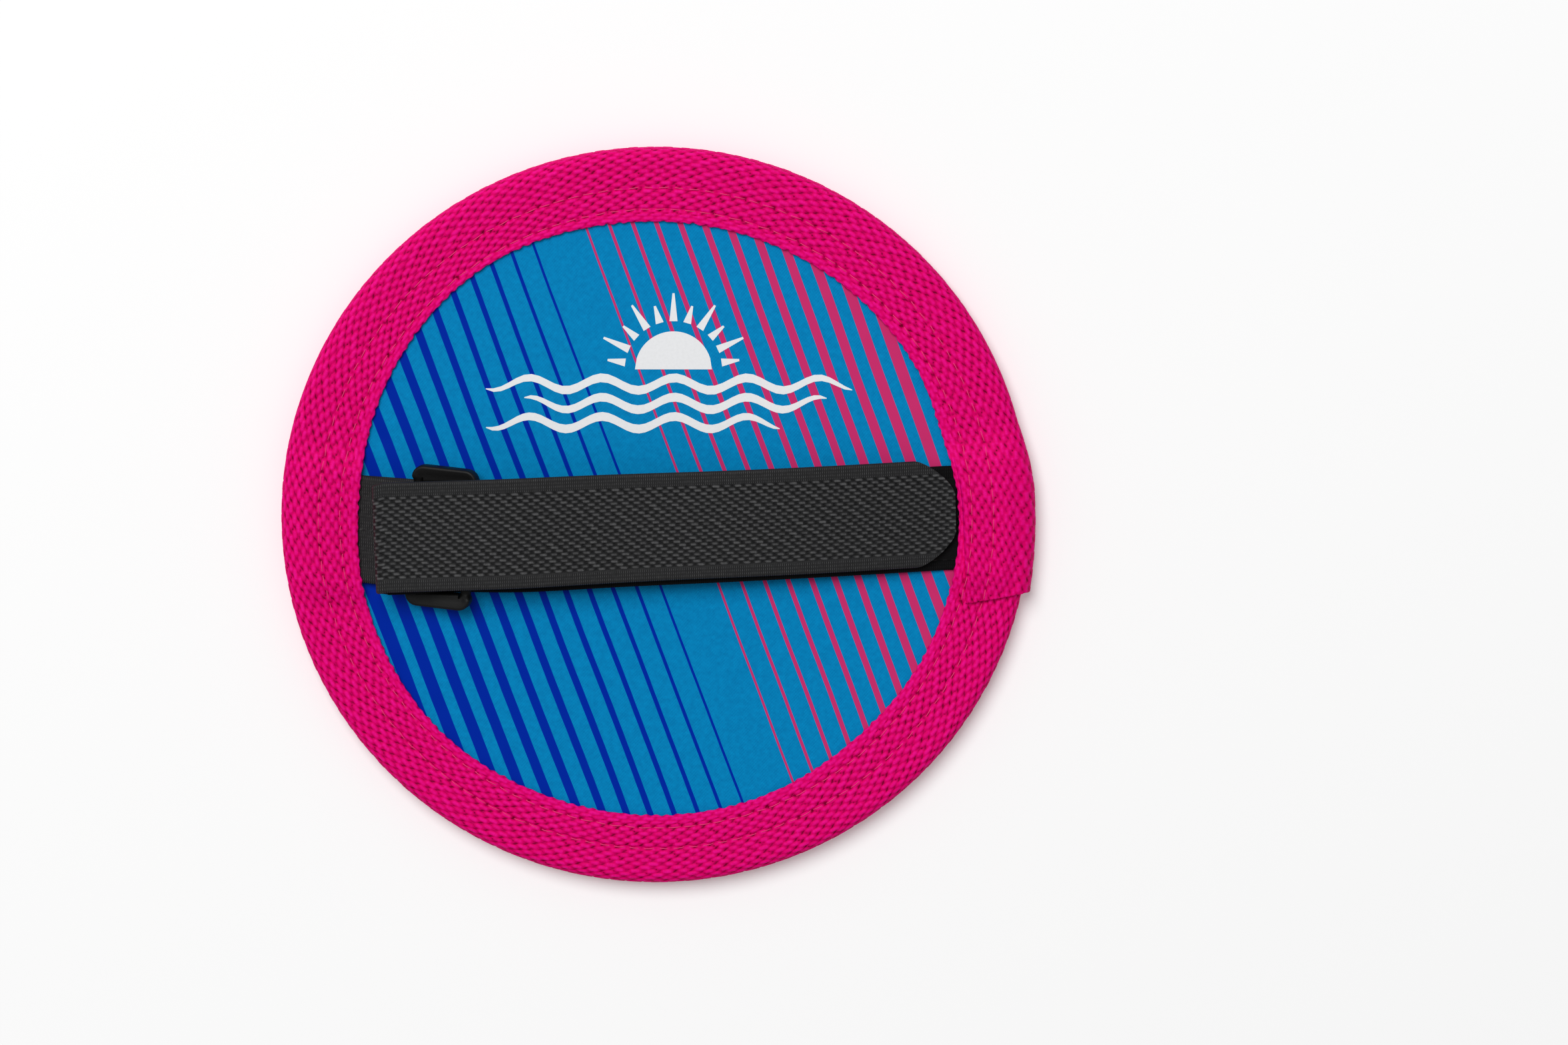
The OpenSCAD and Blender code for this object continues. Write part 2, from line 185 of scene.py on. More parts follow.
def tube_faces(stations, loop, closed):
    """Quads between the stations of a tube, with quads across each end unless it closes on itself."""
    steps = np.arange(stations if closed else stations - 1)
    i, k = np.meshgrid(steps, np.arange(loop), indexing="ij")
    ahead = (i + 1) % stations
    beside = (k + 1) % loop
    walls = np.stack([i * loop + k, ahead * loop + k, ahead * loop + beside, i * loop + beside], -1)
    walls = walls.reshape(-1, 4)
    if closed:
        return walls
    k = np.arange(loop // 2 - 1)
    cap = np.stack([k, k + 1, loop - 2 - k, loop - 1 - k], -1)
    return np.concatenate([walls, cap, cap[:, ::-1] + (stations - 1) * loop])


def tubes(name, grid, closed=False, sharp=SHARP_DEGREES, weld=False):
    """One piece from tubes: grid[tube, station, place round it] is a point in millimetres.

    The faces are turned outwards by the sign of the volume that they enclose. Edges sharper than the angle
    given stay sharp, and points that meet at a pole are welded.
    """
    count, stations, loop, _ = grid.shape
    points = grid.reshape(-1, 3)
    one = tube_faces(stations, loop, closed)
    faces = (one[None] + (np.arange(count) * stations * loop)[:, None, None]).reshape(-1, 4)
    a, b, c, d = (points[faces[:, n]] for n in range(4))
    if np.sum(a * np.cross(b, c)) + np.sum(a * np.cross(c, d)) < 0:
        faces = faces[:, ::-1]
    mesh = bpy.data.meshes.new(name)
    mesh.from_pydata(points * MM, [], faces)
    if weld:
        shape = bmesh.new()
        shape.from_mesh(mesh)
        bmesh.ops.remove_doubles(shape, verts=shape.verts, dist=WELD_WITHIN_M)
        shape.to_mesh(mesh)
        shape.free()
    mesh.polygons.foreach_set("use_smooth", np.ones(len(mesh.polygons), bool))
    mesh.set_sharp_from_angle(angle=math.radians(sharp))
    made = bpy.data.objects.new(name, mesh)
    bpy.context.scene.collection.objects.link(made)
    return made


def set_yarn(piece, values):
    """Keeps the height of the yarn at each point, 0 in a gap and 1 on top, for the material, which paints
    shade in the gaps and a highlight on top from it.
    """
    kept = piece.data.attributes.new("yarn", "FLOAT", "POINT").data
    kept.foreach_set("value", values.astype(np.float32).ravel())


def set_cloth_map(piece, along, across):
    """UV map of the places along and across a strip, in millimetres."""
    index = np.empty(len(piece.data.loops), np.int32)
    piece.data.loops.foreach_get("vertex_index", index)
    places = np.stack([along.ravel(), across.ravel()], -1)[index]
    piece.data.uv_layers.new(name="cloth").data.foreach_set("uv", places.astype(np.float32).ravel())


def dress(piece, body, slot, material, *nodes):
    """Gives a piece its material, lets it ride on its body and stand for its solids. Its slot is not used.
    """
    piece.data.materials.append(material)
    if body:
        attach(piece, body)
    if nodes:
        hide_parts(*nodes)
    return piece


# Shader nodes


def srgb(red, green, blue):
    """A colour given from 0 to 255 as the shader's linear values, by the sRGB curve."""
    c = np.array([red, green, blue]) / 255
    linear = np.where(c <= 0.04045, c / 12.92, ((c + 0.055) / 1.055) ** 2.4)
    return (*linear.tolist(), 1.0)


def add(tree, kind, inputs=None, **settings):
    """A shader node with its settings, and its inputs set to values or linked to other nodes' outputs."""
    made = tree.nodes.new(kind)
    for key, value in settings.items():
        setattr(made, key, value)
    for key, value in (inputs or {}).items():
        if isinstance(value, bpy.types.NodeSocket):
            tree.links.new(value, made.inputs[key])
        else:
            made.inputs[key].default_value = value
    return made


def calc(tree, operation, *values):
    """Result of a Math node over values or outputs."""
    return add(tree, "ShaderNodeMath", dict(enumerate(values)), operation=operation).outputs[0]


def ramp(tree, value, low, high, start=0.0, stop=1.0):
    """Smooth step of a value from start to stop while it goes from low to high."""
    places = {"Value": value, "From Min": low, "From Max": high, "To Min": start, "To Max": stop}
    return add(tree, "ShaderNodeMapRange", places, interpolation_type="SMOOTHSTEP").outputs[0]


def mix(tree, share, first, second):
    """Colour between two colours."""
    made = add(tree, "ShaderNodeMix", {0: share, 6: first, 7: second}, data_type="RGBA")
    return made.outputs[2]


def noise(tree, place, scale, detail=2.0):
    """Noise from 0 to 1, with its scale in waves to the metre."""
    places = {"Vector": place, "Scale": scale, "Detail": detail}
    return add(tree, "ShaderNodeTexNoise", places).outputs[0]


def wave(tree, place, pitch):
    """Sine wave from -1 to 1 over a place, with its pitch."""
    return calc(tree, "SINE", calc(tree, "MULTIPLY", place, TAU / pitch))


def new_group(name, inputs, outputs):
    """A shader node group with named inputs (with their defaults) and outputs."""
    tree = bpy.data.node_groups.new(name, "ShaderNodeTree")
    for label, default in inputs.items():
        kind = "NodeSocketFloat" if isinstance(default, float) else "NodeSocketColor"
        tree.interface.new_socket(label, in_out="INPUT", socket_type=kind).default_value = default
    for label, kind in outputs.items():
        tree.interface.new_socket(label, in_out="OUTPUT", socket_type=kind)
    return tree, add(tree, "NodeGroupInput").outputs, add(tree, "NodeGroupOutput")


def use_group(tree, group, inputs):
    """Places a node group with its own values."""
    return add(tree, "ShaderNodeGroup", inputs, node_tree=group).outputs


def new_material(name, roughness, specular=0.5, sheen=0.0):
    """A material with its shader's constant values set. Gives the material, its tree and its shader."""
    made = bpy.data.materials.new(name)
    made.use_nodes = True
    shader = made.node_tree.nodes["Principled BSDF"]
    shader.inputs["Roughness"].default_value = roughness
    shader.inputs["Specular IOR Level"].default_value = specular
    shader.inputs["Sheen Weight"].default_value = sheen
    return made, made.node_tree, shader


def link_bump(tree, shader, height, strength, distance_mm):
    """Lets a height bend the shader's normal."""
    places = {"Height": height, "Strength": strength, "Distance": distance_mm * MM}
    tree.links.new(add(tree, "ShaderNodeBump", places).outputs[0], shader.inputs["Normal"])


# Effects that materials share

MID_GREY = (0.5, 0.5, 0.5, 1.0)
NOISE_LIMITS = (0.3, 0.7)
# Tones of the yarn over which its painted gap shade gives way to its own colour, and that to its painted
# highlight
GAP_SHADE_TONES = (0.05, 0.62)
HIGHLIGHT_TONES = (0.6, 1.15)
FIBRE_SHARES = (0.5, 1.0)
FINE_DETAIL = 3.0
PATCH_SCALE = 0.08


def make_yarn_shade_and_highlight():
    """Colour of woven yarn: painted shade in the gaps, the yarn's own on its sides, and a flecked painted
    highlight on top.
    """
    tree, given, out = new_group(
        "yarn_shade_and_highlight",
        {
            "Yarn": 0.5, "Gap": MID_GREY, "Side": MID_GREY, "Top": MID_GREY,
            "Fleck": 0.7, "Fleck Scale": 1200.0, "Fibre Scale": 6000.0,
        },
        {"Color": "NodeSocketColor", "Height": "NodeSocketFloat"},
    )
    place = add(tree, "ShaderNodeTexCoord").outputs["Object"]
    fleck = noise(tree, place, given["Fleck Scale"])
    fibre = noise(tree, place, given["Fibre Scale"], FINE_DETAIL)
    flecked = calc(tree, "MULTIPLY_ADD", calc(tree, "SUBTRACT", fleck, 0.5), given["Fleck"], 1.0)
    tone = calc(tree, "MULTIPLY", given["Yarn"], flecked)
    # Painted shade in the gaps, giving way to the yarn's own colour on its sides
    side = mix(tree, ramp(tree, tone, *GAP_SHADE_TONES), given["Gap"], given["Side"])
    fibres = ramp(tree, fibre, *NOISE_LIMITS, *FIBRE_SHARES)
    # A painted highlight on top, broken up by the fine fibres
    highlight_share = calc(tree, "MULTIPLY", ramp(tree, tone, *HIGHLIGHT_TONES), fibres)
    tree.links.new(mix(tree, highlight_share, side, given["Top"]), out.inputs["Color"])
    tree.links.new(fibre, out.inputs["Height"])
    return tree


def make_graded_stripes():
    """Mask of stripes whose width grows from stripe to stripe, over a place measured across them."""
    tree, given, out = new_group(
        "graded_stripes",
        {
            "Place": 0.0, "First": 0.0, "Pitch": 5.0, "Width": 1.0,
            "Widening": 0.2, "Last": 10.0, "Softness": 0.08,
        },
        {"Mask": "NodeSocketFloat"},
    )
    steps = calc(tree, "DIVIDE", calc(tree, "SUBTRACT", given["Place"], given["First"]), given["Pitch"])
    number = calc(tree, "MINIMUM", calc(tree, "MAXIMUM", calc(tree, "ROUND", steps), 0.0), given["Last"])
    centre = calc(tree, "MULTIPLY_ADD", given["Pitch"], number, given["First"])
    width = calc(tree, "MULTIPLY_ADD", given["Widening"], number, given["Width"])
    off = calc(tree, "ABSOLUTE", calc(tree, "SUBTRACT", given["Place"], centre))
    over = calc(tree, "SUBTRACT", off, calc(tree, "MULTIPLY", width, 0.5))
    low = calc(tree, "MULTIPLY", given["Softness"], -1.0)
    tree.links.new(ramp(tree, over, low, given["Softness"], 1.0, 0.0), out.inputs["Mask"])
    return tree


def make_fine_grain():
    """Fine unevenness of a moulded or cut surface: a height, and a roughness between two values."""
    tree, given, out = new_group(
        "fine_grain",
        {"Scale": 2500.0, "Smoothest": 0.3, "Roughest": 0.5},
        {"Height": "NodeSocketFloat", "Roughness": "NodeSocketFloat"},
    )
    place = add(tree, "ShaderNodeTexCoord").outputs["Object"]
    fine = noise(tree, place, given["Scale"], FINE_DETAIL)
    patches = noise(tree, place, calc(tree, "MULTIPLY", given["Scale"], PATCH_SCALE))
    roughness = ramp(tree, patches, *NOISE_LIMITS, given["Smoothest"], given["Roughest"])
    tree.links.new(fine, out.inputs["Height"])
    tree.links.new(roughness, out.inputs["Roughness"])
    return tree


yarn_shade_and_highlight = make_yarn_shade_and_highlight()
graded_stripes = make_graded_stripes()
fine_grain = make_fine_grain()

# Materials

PANEL_HALF = 9.5
PANEL_EDGE = 0.4
RIB_PITCH = 0.45
TAB_RIB_PITCH = 0.5
RIB_ROW = 0.8
RIB_ROW_TONES = (0.35, 0.65)
RIB_TONES = (0.34, 0.6)
RIB_HEIGHT = 1.5
YARN_BUMP = (0.6, 0.06)
GRAIN_BUMP = 0.5


def webbing_material(name, gap_shade, side, top, roughness, specular, fleck, rib_pitch=None, plain_from=None):
    """Woven yarn toned by its height, with fine fibres: painted shade where it lies low and a painted
    highlight on top.

    Where a rib pitch is given, cross ribs in rows take the place of the yarn beside the middle panel.
    """
    made, tree, shader = new_material(name, roughness, specular)
    yarn = add(tree, "ShaderNodeAttribute", attribute_name="yarn").outputs["Fac"]
    if rib_pitch:
        cloth_map = add(tree, "ShaderNodeUVMap", uv_map="cloth").outputs[0]
        cloth = add(tree, "ShaderNodeSeparateXYZ", {0: cloth_map}).outputs
        outside = ramp(tree, calc(tree, "ABSOLUTE", cloth["Y"]), plain_from, plain_from + PANEL_EDGE)
        row = calc(tree, "MULTIPLY_ADD", wave(tree, cloth["Y"], RIB_ROW), *RIB_ROW_TONES)
        rib = calc(tree, "MULTIPLY", wave(tree, cloth["X"], rib_pitch), row)
        rib_tone = calc(tree, "MULTIPLY_ADD", rib, *RIB_TONES)
        yarn = calc(tree, "MULTIPLY_ADD", calc(tree, "SUBTRACT", rib_tone, yarn), outside, yarn)
    values = {"Yarn": yarn, "Gap": gap_shade, "Side": side, "Top": top, "Fleck": fleck}
    tone = use_group(tree, yarn_shade_and_highlight, values)
    tree.links.new(tone["Color"], shader.inputs["Base Color"])
    height = tone["Height"]
    if rib_pitch:
        height = calc(tree, "MULTIPLY_ADD", yarn, RIB_HEIGHT, height)
    link_bump(tree, shader, height, *YARN_BUMP)
    return made


def grained_material(name, colour, roughness, scale, specular=0.5, sheen=0.0, bump_mm=0.03, vary=0.3):
    """One colour, slightly uneven, with a fine grain whose roughness lies between two values."""
    smoothest, roughest = roughness
    made, tree, shader = new_material(name, roughest, specular, sheen)
    values = {"Scale": scale, "Smoothest": smoothest, "Roughest": roughest}
    grain = use_group(tree, fine_grain, values)
    darker = (*((1 - vary) * c for c in colour[:3]), 1.0)
    tree.links.new(mix(tree, grain["Height"], darker, colour), shader.inputs["Base Color"])
    tree.links.new(grain["Roughness"], shader.inputs["Roughness"])
    link_bump(tree, shader, grain["Height"], GRAIN_BUMP, bump_mm)
    return made


# Printed stripes: places and widths on the line through the paddle's middle, in millimetres
STRIPE_LEAN = 0.367
DARK_STRIPES = {"First": -4.55, "Pitch": -5.75, "Width": 0.645, "Widening": 0.223, "Last": 12.0}
BRIGHT_STRIPES = {"First": 9.3, "Pitch": 5.6, "Width": 0.566, "Widening": 0.204, "Last": 11.0}
STRIPE_WAVE = 1.1
STRIPE_WAVE_SCALE = 22.0
DARK_PRINT = srgb(0, 42, 165)
BRIGHT_PRINT = srgb(208, 50, 113)

# Knit between the stripes, and the smooth film of the print over it
KNIT_PITCH = 0.44
WALE_LEAN = -0.45
COURSE_LEAN = 0.3
KNIT_SHARE = 0.65
MOTTLE_SHARE = 0.35
MOTTLE_SCALE = 900.0
# The knit's colour follows its relief: painted shade in its hollows, a painted highlight on its ribs
KNIT_SHADE = srgb(0, 82, 142)
KNIT_HIGHLIGHT = srgb(6, 168, 232)
KNIT_ROUGHNESS = 0.62
FILM_ROUGHNESS = 0.34
FILM_HIDES = 0.85
KNIT_BUMP_MM = 0.05


def cover_material():
    """Blue knit with slanting printed stripes: the print is a smooth film, and the knit shows its ribs, with
    painted shade in their hollows and a painted highlight on their crests.
    """
    made, tree, shader = new_material("printed_knit", KNIT_ROUGHNESS, specular=0.04)
    place = add(tree, "ShaderNodeTexCoord").outputs["Object"]
    axes = add(tree, "ShaderNodeSeparateXYZ", {0: place}).outputs
    x, y = (calc(tree, "DIVIDE", axes[n], MM) for n in (0, 1))
    uneven = calc(tree, "SUBTRACT", noise(tree, place, STRIPE_WAVE_SCALE, detail=1.0), 0.5)
    slant = calc(tree, "MULTIPLY_ADD", y, STRIPE_LEAN, x)
    slant = calc(tree, "ADD", slant, calc(tree, "MULTIPLY", uneven, STRIPE_WAVE))
    dark = use_group(tree, graded_stripes, {"Place": slant, **DARK_STRIPES})["Mask"]
    bright = use_group(tree, graded_stripes, {"Place": slant, **BRIGHT_STRIPES})["Mask"]
    film = calc(tree, "MAXIMUM", dark, bright)
    wale = wave(tree, calc(tree, "MULTIPLY_ADD", y, WALE_LEAN, x), KNIT_PITCH)
    course = wave(tree, calc(tree, "MULTIPLY_ADD", x, COURSE_LEAN, y), KNIT_PITCH)
    knit = calc(tree, "MULTIPLY_ADD", calc(tree, "MULTIPLY", wale, course), 0.5, 0.5)
    mottle = calc(tree, "MULTIPLY", noise(tree, place, MOTTLE_SCALE), MOTTLE_SHARE)
    ground = mix(tree, calc(tree, "MULTIPLY_ADD", knit, KNIT_SHARE, mottle), KNIT_SHADE, KNIT_HIGHLIGHT)
    printed = mix(tree, dark, mix(tree, bright, ground, BRIGHT_PRINT), DARK_PRINT)
    tree.links.new(printed, shader.inputs["Base Color"])
    roughness = ramp(tree, film, 0.0, 1.0, KNIT_ROUGHNESS, FILM_ROUGHNESS)
    tree.links.new(roughness, shader.inputs["Roughness"])
    relief = calc(tree, "MULTIPLY", knit, calc(tree, "MULTIPLY_ADD", film, -FILM_HIDES, 1.0))
    link_bump(tree, shader, relief, GRAIN_BUMP, KNIT_BUMP_MM)
    return made


# Webbings: the first colour is painted shade in the gaps, the second the yarn's own, the third a painted
# highlight on top
pink_webbing = webbing_material(
    "pink_webbing", srgb(116, 0, 34), srgb(228, 0, 106), srgb(255, 20, 154),
    roughness=0.6, specular=0.04, fleck=0.7,
)
black_webbing = webbing_material(
    "black_webbing", srgb(6, 6, 7), srgb(34, 34, 35), srgb(102, 102, 103),
    roughness=0.6, specular=0.15, fleck=0.35, rib_pitch=RIB_PITCH, plain_from=PANEL_HALF,
)
# The band's webbing is darker: partly it shows the strap's other face, partly it is painted shade from the
# flap above it
band_face_and_shade_webbing = webbing_material(
    "band_face_and_shade_webbing", srgb(3, 3, 4), srgb(15, 15, 16), srgb(38, 38, 39),
    roughness=0.8, specular=0.06, fleck=0.35, rib_pitch=RIB_PITCH, plain_from=PANEL_HALF,
)
tab_webbing = webbing_material(
    "tab_webbing", srgb(8, 8, 9), srgb(38, 37, 38), srgb(92, 90, 91),
    roughness=0.65, specular=0.15, fleck=0.35, rib_pitch=TAB_RIB_PITCH, plain_from=0.0,
)
seam_thread = grained_material(
    "seam_thread", srgb(252, 66, 132), roughness=(0.45, 0.6), scale=5000.0, specular=0.1
)
printed_knit = cover_material()
white_film = grained_material(
    "white_film", srgb(249, 250, 252), roughness=(0.4, 0.55), scale=1500.0,
    specular=0.3, bump_mm=0.02, vary=0.1,
)
ring_plastic = grained_material(
    "ring_plastic", srgb(15, 15, 15), roughness=(0.5, 0.62), scale=2200.0, specular=0.22, bump_mm=0.02
)
hook_plastic = grained_material("hook_plastic", srgb(30, 30, 32), roughness=(0.35, 0.5), scale=3000.0)
hook_cloth = grained_material(
    "hook_cloth", srgb(20, 20, 22), roughness=(0.6, 0.8), scale=1400.0,
    specular=0.3, sheen=0.1, bump_mm=0.2,
)
loop_pile = grained_material(
    "loop_pile", srgb(9, 9, 10), roughness=(0.75, 0.9), scale=2600.0,
    specular=0.1, sheen=0.1, bump_mm=0.3,
)
grey_board = grained_material(
    "grey_board", srgb(150, 146, 140), roughness=(0.6, 0.75), scale=800.0, specular=0.3
)

# Weaves: share is how long an end floats, sunk how high it stays between, spread how far it widens

LAP_WEAVE = {
    "stagger": 0.55, "share": 0.56, "sunk": 0.55, "spread": 0.32, "slant": 0.3, "open_by": (0.3, 1.0)
}
SELVAGE_WEAVE = {
    "stagger": 0.5, "share": 0.7, "sunk": 0.8, "spread": 0.32, "slant": 0.2, "open_by": (0.2, 0.6)
}
STRAP_WEAVE = {
    "stagger": 0.46, "share": 0.64, "sunk": 0.5, "spread": 0.16, "slant": 0.5, "open_by": (0.95, 0.95)
}
SWAY = 0.06
SWAY_STEP = 1.7
SWAY_FLOATS = 8
UNEVEN_L = 0.06
UNEVEN_H = 0.05
FLOAT_SLOPE = 0.36
END_HALF = 0.42
GAP_L = 0.085
GAP_HALF = 0.36


def woven(along, across, stagger, share, sunk, spread, slant, open_by):
    """Height of a weave, 0 in its holes to 1 on its floats, over places counted in floats and in warp ends.

    Each end bows over its own width. Where it floats it is wide and high, and between its floats it is
    narrow and lies deeper, so that the floats of its neighbours close in over it and leave a slanting hole,
    opened by a share between two limits. Scattered numbers make the floats and the holes uneven.
    """
    height = 0.0
    hole = 0.0
    for beside in (-1, 0, 1):
        end = np.floor(across) + beside
        aside = across - end - 0.5
        run = along + stagger * end + SWAY * np.sin(SWAY_STEP * end + along * TAU / SWAY_FLOATS)
        uneven = scatter(end, np.floor(run))
        off_float = 2 * np.abs(run % 1 - 0.5)
        up = 1 - smooth((off_float - share - UNEVEN_L * uneven + FLOAT_SLOPE / 2) / FLOAT_SLOPE)
        bow = np.sqrt(np.clip(1 - (aside / (END_HALF + spread * up)) ** 2, 0, 1))
        level = (sunk + (1 - sunk) * up) * (1 - UNEVEN_H + UNEVEN_H * uneven)
        height = np.maximum(height, level * bow)
        place = run + slant * aside + 0.5
        chance = scatter(end, np.floor(place)) * SCATTER_SPREAD % 1
        opened = open_by[0] + (open_by[1] - open_by[0]) * chance
        off_hole = ((place % 1 - 0.5) / GAP_L) ** 2 + (aside / GAP_HALF) ** 2
        hole = np.maximum(hole, opened * np.exp(-off_hole))
    return height * (1 - hole)


# Edge binding

EDGE_R = WEB_T / 2
WARP_ENDS = 46
FLOATS = 136
FLOAT_SAMPLES = 12
LAP_SAMPLES = 5
RIM_SAMPLES = 3
UNDER_SAMPLES = 2
BACK_ROWS = 4
BACK_SET = 0.5
SELVAGE_W = 3.4
WEAVE_DEPTH = 0.42
EDGE_ROOM = 6.0
SCALLOPS = 178
SCALLOP_H = 0.16
SCALLOP_REACH = 1.8
SWELL = 0.5
SWELLS = (23, 61)
SEAM_DEPTH = 0.22
GROOVE_HALF = 0.55
HOLE_DEPTH = 0.2
HOLE_HALF = 0.42
HOLE_UNEVEN = 0.4
HOLE_SHADE = 0.7
SECTION_STEP = 0.05
SPLIT_PAST = 0.5

# Where the lap's inner edge strays: degrees round the paddle, reach in degrees, and how far out
EDGE_BUMPS = (
    (18.0, 9.0, -1.0),
    (124.0, 20.0, 1.3),
    (176.0, 17.0, -1.3),
    (226.0, 16.0, 0.7),
    (312.0, 14.0, -0.6),
)


def arc_points(r, z, radius, start, stop, count=24):
    """Points of an arc in a section, as radius from the axis and height."""
    angle = np.radians(np.linspace(start, stop, count))
    return np.stack([r + radius * np.cos(angle), z + radius * np.sin(angle)], -1)


section_line = np.concatenate([
    arc_points(inner_r + EDGE_R, deck_z + EDGE_R, EDGE_R, 270, 90),
    arc_points(rim_r - CORNER_R, rim_h - CORNER_R, CORNER_R, 90, 0),
    arc_points(rim_r - CORNER_R, CORNER_R, CORNER_R, 0, -90),
    arc_points(inner_r + EDGE_R, EDGE_R, EDGE_R, 270, 90),
])
section_at = run_lengths(section_line)
section_l = section_at[-1]
edge_l = np.pi * EDGE_R
end_pitch = section_l / WARP_ENDS


def section(p):
    """Point and outward normal of the binding's section at p along it, from its upper to its lower edge."""
    here, after, before = (
        points_along(section_line, section_at, p + step) for step in (0, SECTION_STEP, -SECTION_STEP)
    )
    ahead = after - before
    ahead /= np.linalg.norm(ahead, axis=-1, keepdims=True)
    return here, np.stack([-ahead[..., 1], ahead[..., 0]], -1)


def place_on_lap(r):
    """Place along the section of a radius on the upper lap."""
    return edge_l + r - inner_r - EDGE_R


def webbing_yarn(angle, p):
    """Height of the binding's yarn: floats staggered by about half, and longer ones along both edges."""
    along = angle * FLOATS / TAU
    middle = woven(along, p / end_pitch, **LAP_WEAVE)
    selvage = woven(along, p / end_pitch, **SELVAGE_WEAVE)
    return np.where(np.minimum(p, section_l - p) < SELVAGE_W, selvage, middle)


def edge_drift(angle):
    """How far the sewn lap's inner edge strays from its circle: bell-shaped bumps at a few places."""
    drift = 0.0
    for place, reach, amount in EDGE_BUMPS:
        off = (angle - math.radians(place) + np.pi) % TAU - np.pi
        drift = drift + amount * bell(off / math.radians(reach))
    return drift


def lap_drift(angle, base):
    """How far points of the section stray with the upper lap's inner edge, fading out towards the rim."""
    fixed_r = rim_r - EDGE_ROOM
    inwards = np.clip((fixed_r - base[..., 0]) / (fixed_r - inner_r), 0, 1)
    return np.where(base[..., 1] > rim_h / 2, inwards, 0) * edge_drift(angle)


def edge_scallop(angle, p):
    """How far the edge loops of the webbing bulge: uneven waves that fade out away from both edges."""
    from_edge = np.minimum(p, section_l - p)
    waves = np.cos(SCALLOPS * angle) * (1 + SWELL * np.sin(SWELLS[0] * angle))
    waves = waves + SWELL * np.sin(SWELLS[1] * angle + 1)
    return SCALLOP_H * waves * bell(from_edge / SCALLOP_REACH)


def plateau(t, half, slope):
    """1 within half of the middle, down to 0 over a smooth slope at both sides."""
    return 1 - smooth((np.abs(t) - half) / slope)


def lap_lift(x, y, r):
    """Rise of the upper lap over the strap and the tab sewn in under it, fading out towards the rim."""
    over_strap = STRAP_T * plateau(off_line(x, y, *strap_line)[1], SADDLE_HALF, RAMP_L)
    over_tab = 2 * TAB_T * plateau(off_line(x, y, *ring_line)[1], SADDLE_HALF, RAMP_L)
    inside = 1 - smooth((r - rim_r + SHOULDER_SETS[0]) / (SHOULDER_SETS[0] - SHOULDER_SETS[1]))
    return np.where(x > 0, over_strap, over_tab) * inside


def stitch_count(seam_r):
    """Number of stitches in a seam of that radius."""
    return math.floor(TAU * seam_r / STITCH_PITCH)


def seam_pull(angle, r, phase):
    """Depth to which the seams draw the webbing in, and a mask of the needle holes between stitches for
    their painted shade.

    Each seam is a bell-shaped groove across its radius, with a bell-shaped pit where two stitches meet.
    """
    depth = np.zeros_like(r)
    hole = np.zeros_like(r)
    for seam_set in SEAM_SETS:
        seam_r = rim_r - seam_set
        stitch = angle * stitch_count(seam_r) / TAU + phase
        off_stitch = np.abs((stitch + 0.5) % 1 - 0.5)
        groove = bell((r - seam_r) / GROOVE_HALF)
        needle = groove * bell((0.5 - off_stitch) * STITCH_PITCH / HOLE_HALF)
        depth += SEAM_DEPTH * groove + HOLE_DEPTH * needle
        hole += needle * (1 - HOLE_UNEVEN + HOLE_UNEVEN * scatter(0, np.floor(stitch)))
    return depth, hole


def pierced(yarn, hole):
    """Height of the yarn for its material, lowered in the needle holes to paint shade there."""
    return yarn * (1 - HOLE_SHADE * np.clip(hole, 0, 1))


def webbing_points(angle, p, out, swing=0.0):
    """Points of the webbing at an angle round the paddle and p round its section, out along the normal.

    The upper lap rides up over what is sewn in under it, and swing moves the section outwards.
    """
    base, normal = section(p)
    upper = base[..., 1] > rim_h / 2
    r = base[..., 0] + swing + normal[..., 0] * out + lap_drift(angle, base) + edge_scallop(angle, p)
    z = base[..., 1] + normal[..., 1] * out
    x = r * np.cos(angle)
    y = r * np.sin(angle)
    return np.stack([x, y, z + np.where(upper, lap_lift(x, y, r), 0)], -1)


def binding_ring(name, first, last, samples):
    """A stretch of the binding's section carried round the paddle: woven outside, plain inside."""
    columns = FLOATS * FLOAT_SAMPLES
    angle = (np.arange(columns) * TAU / columns)[:, None]
    rows = round((last - first) / end_pitch * samples) + 1
    outside = np.linspace(first, last, rows)[None]
    inside = np.linspace(last, first, BACK_ROWS)[None]
    inside = np.clip(inside, edge_l + BACK_SET, section_l - edge_l - BACK_SET)
    base = section(outside)[0]
    upper = base[..., 1] > rim_h / 2
    yarn = webbing_yarn(angle, outside)
    radius = base[..., 0] + lap_drift(angle, base)
    pull, hole = seam_pull(angle, radius, np.where(upper, 0.0, 0.5))
    front = webbing_points(angle, outside, -WEAVE_DEPTH * (1 - yarn) - pull)
    back = webbing_points(angle, inside, -WEB_T)
    made = tubes(name, np.concatenate([front, back], 1)[None], closed=True)
    # The inside takes yarn 0, so it is coloured with the painted gap shade
    set_yarn(made, np.concatenate([pierced(yarn, hole), np.zeros(back.shape[:2])], 1))
    return dress(made, "paddle", "binding_webbing", pink_webbing, "edge_binding")


lap_middle = place_on_lap(rim_r - SEAM_SETS[0] - SPLIT_PAST)
upper_bend = place_on_lap(rim_r - CORNER_R) + CORNER_R * np.pi / 4
binding_ring("binding_upper_inner", 0.0, lap_middle, LAP_SAMPLES)
binding_ring("binding_upper_outer", lap_middle, upper_bend, LAP_SAMPLES)
binding_ring("binding_rim", upper_bend, section_l - upper_bend, RIM_SAMPLES)
binding_ring("binding_underside", section_l - upper_bend, section_l, UNDER_SAMPLES)

# Lapped end of the binding

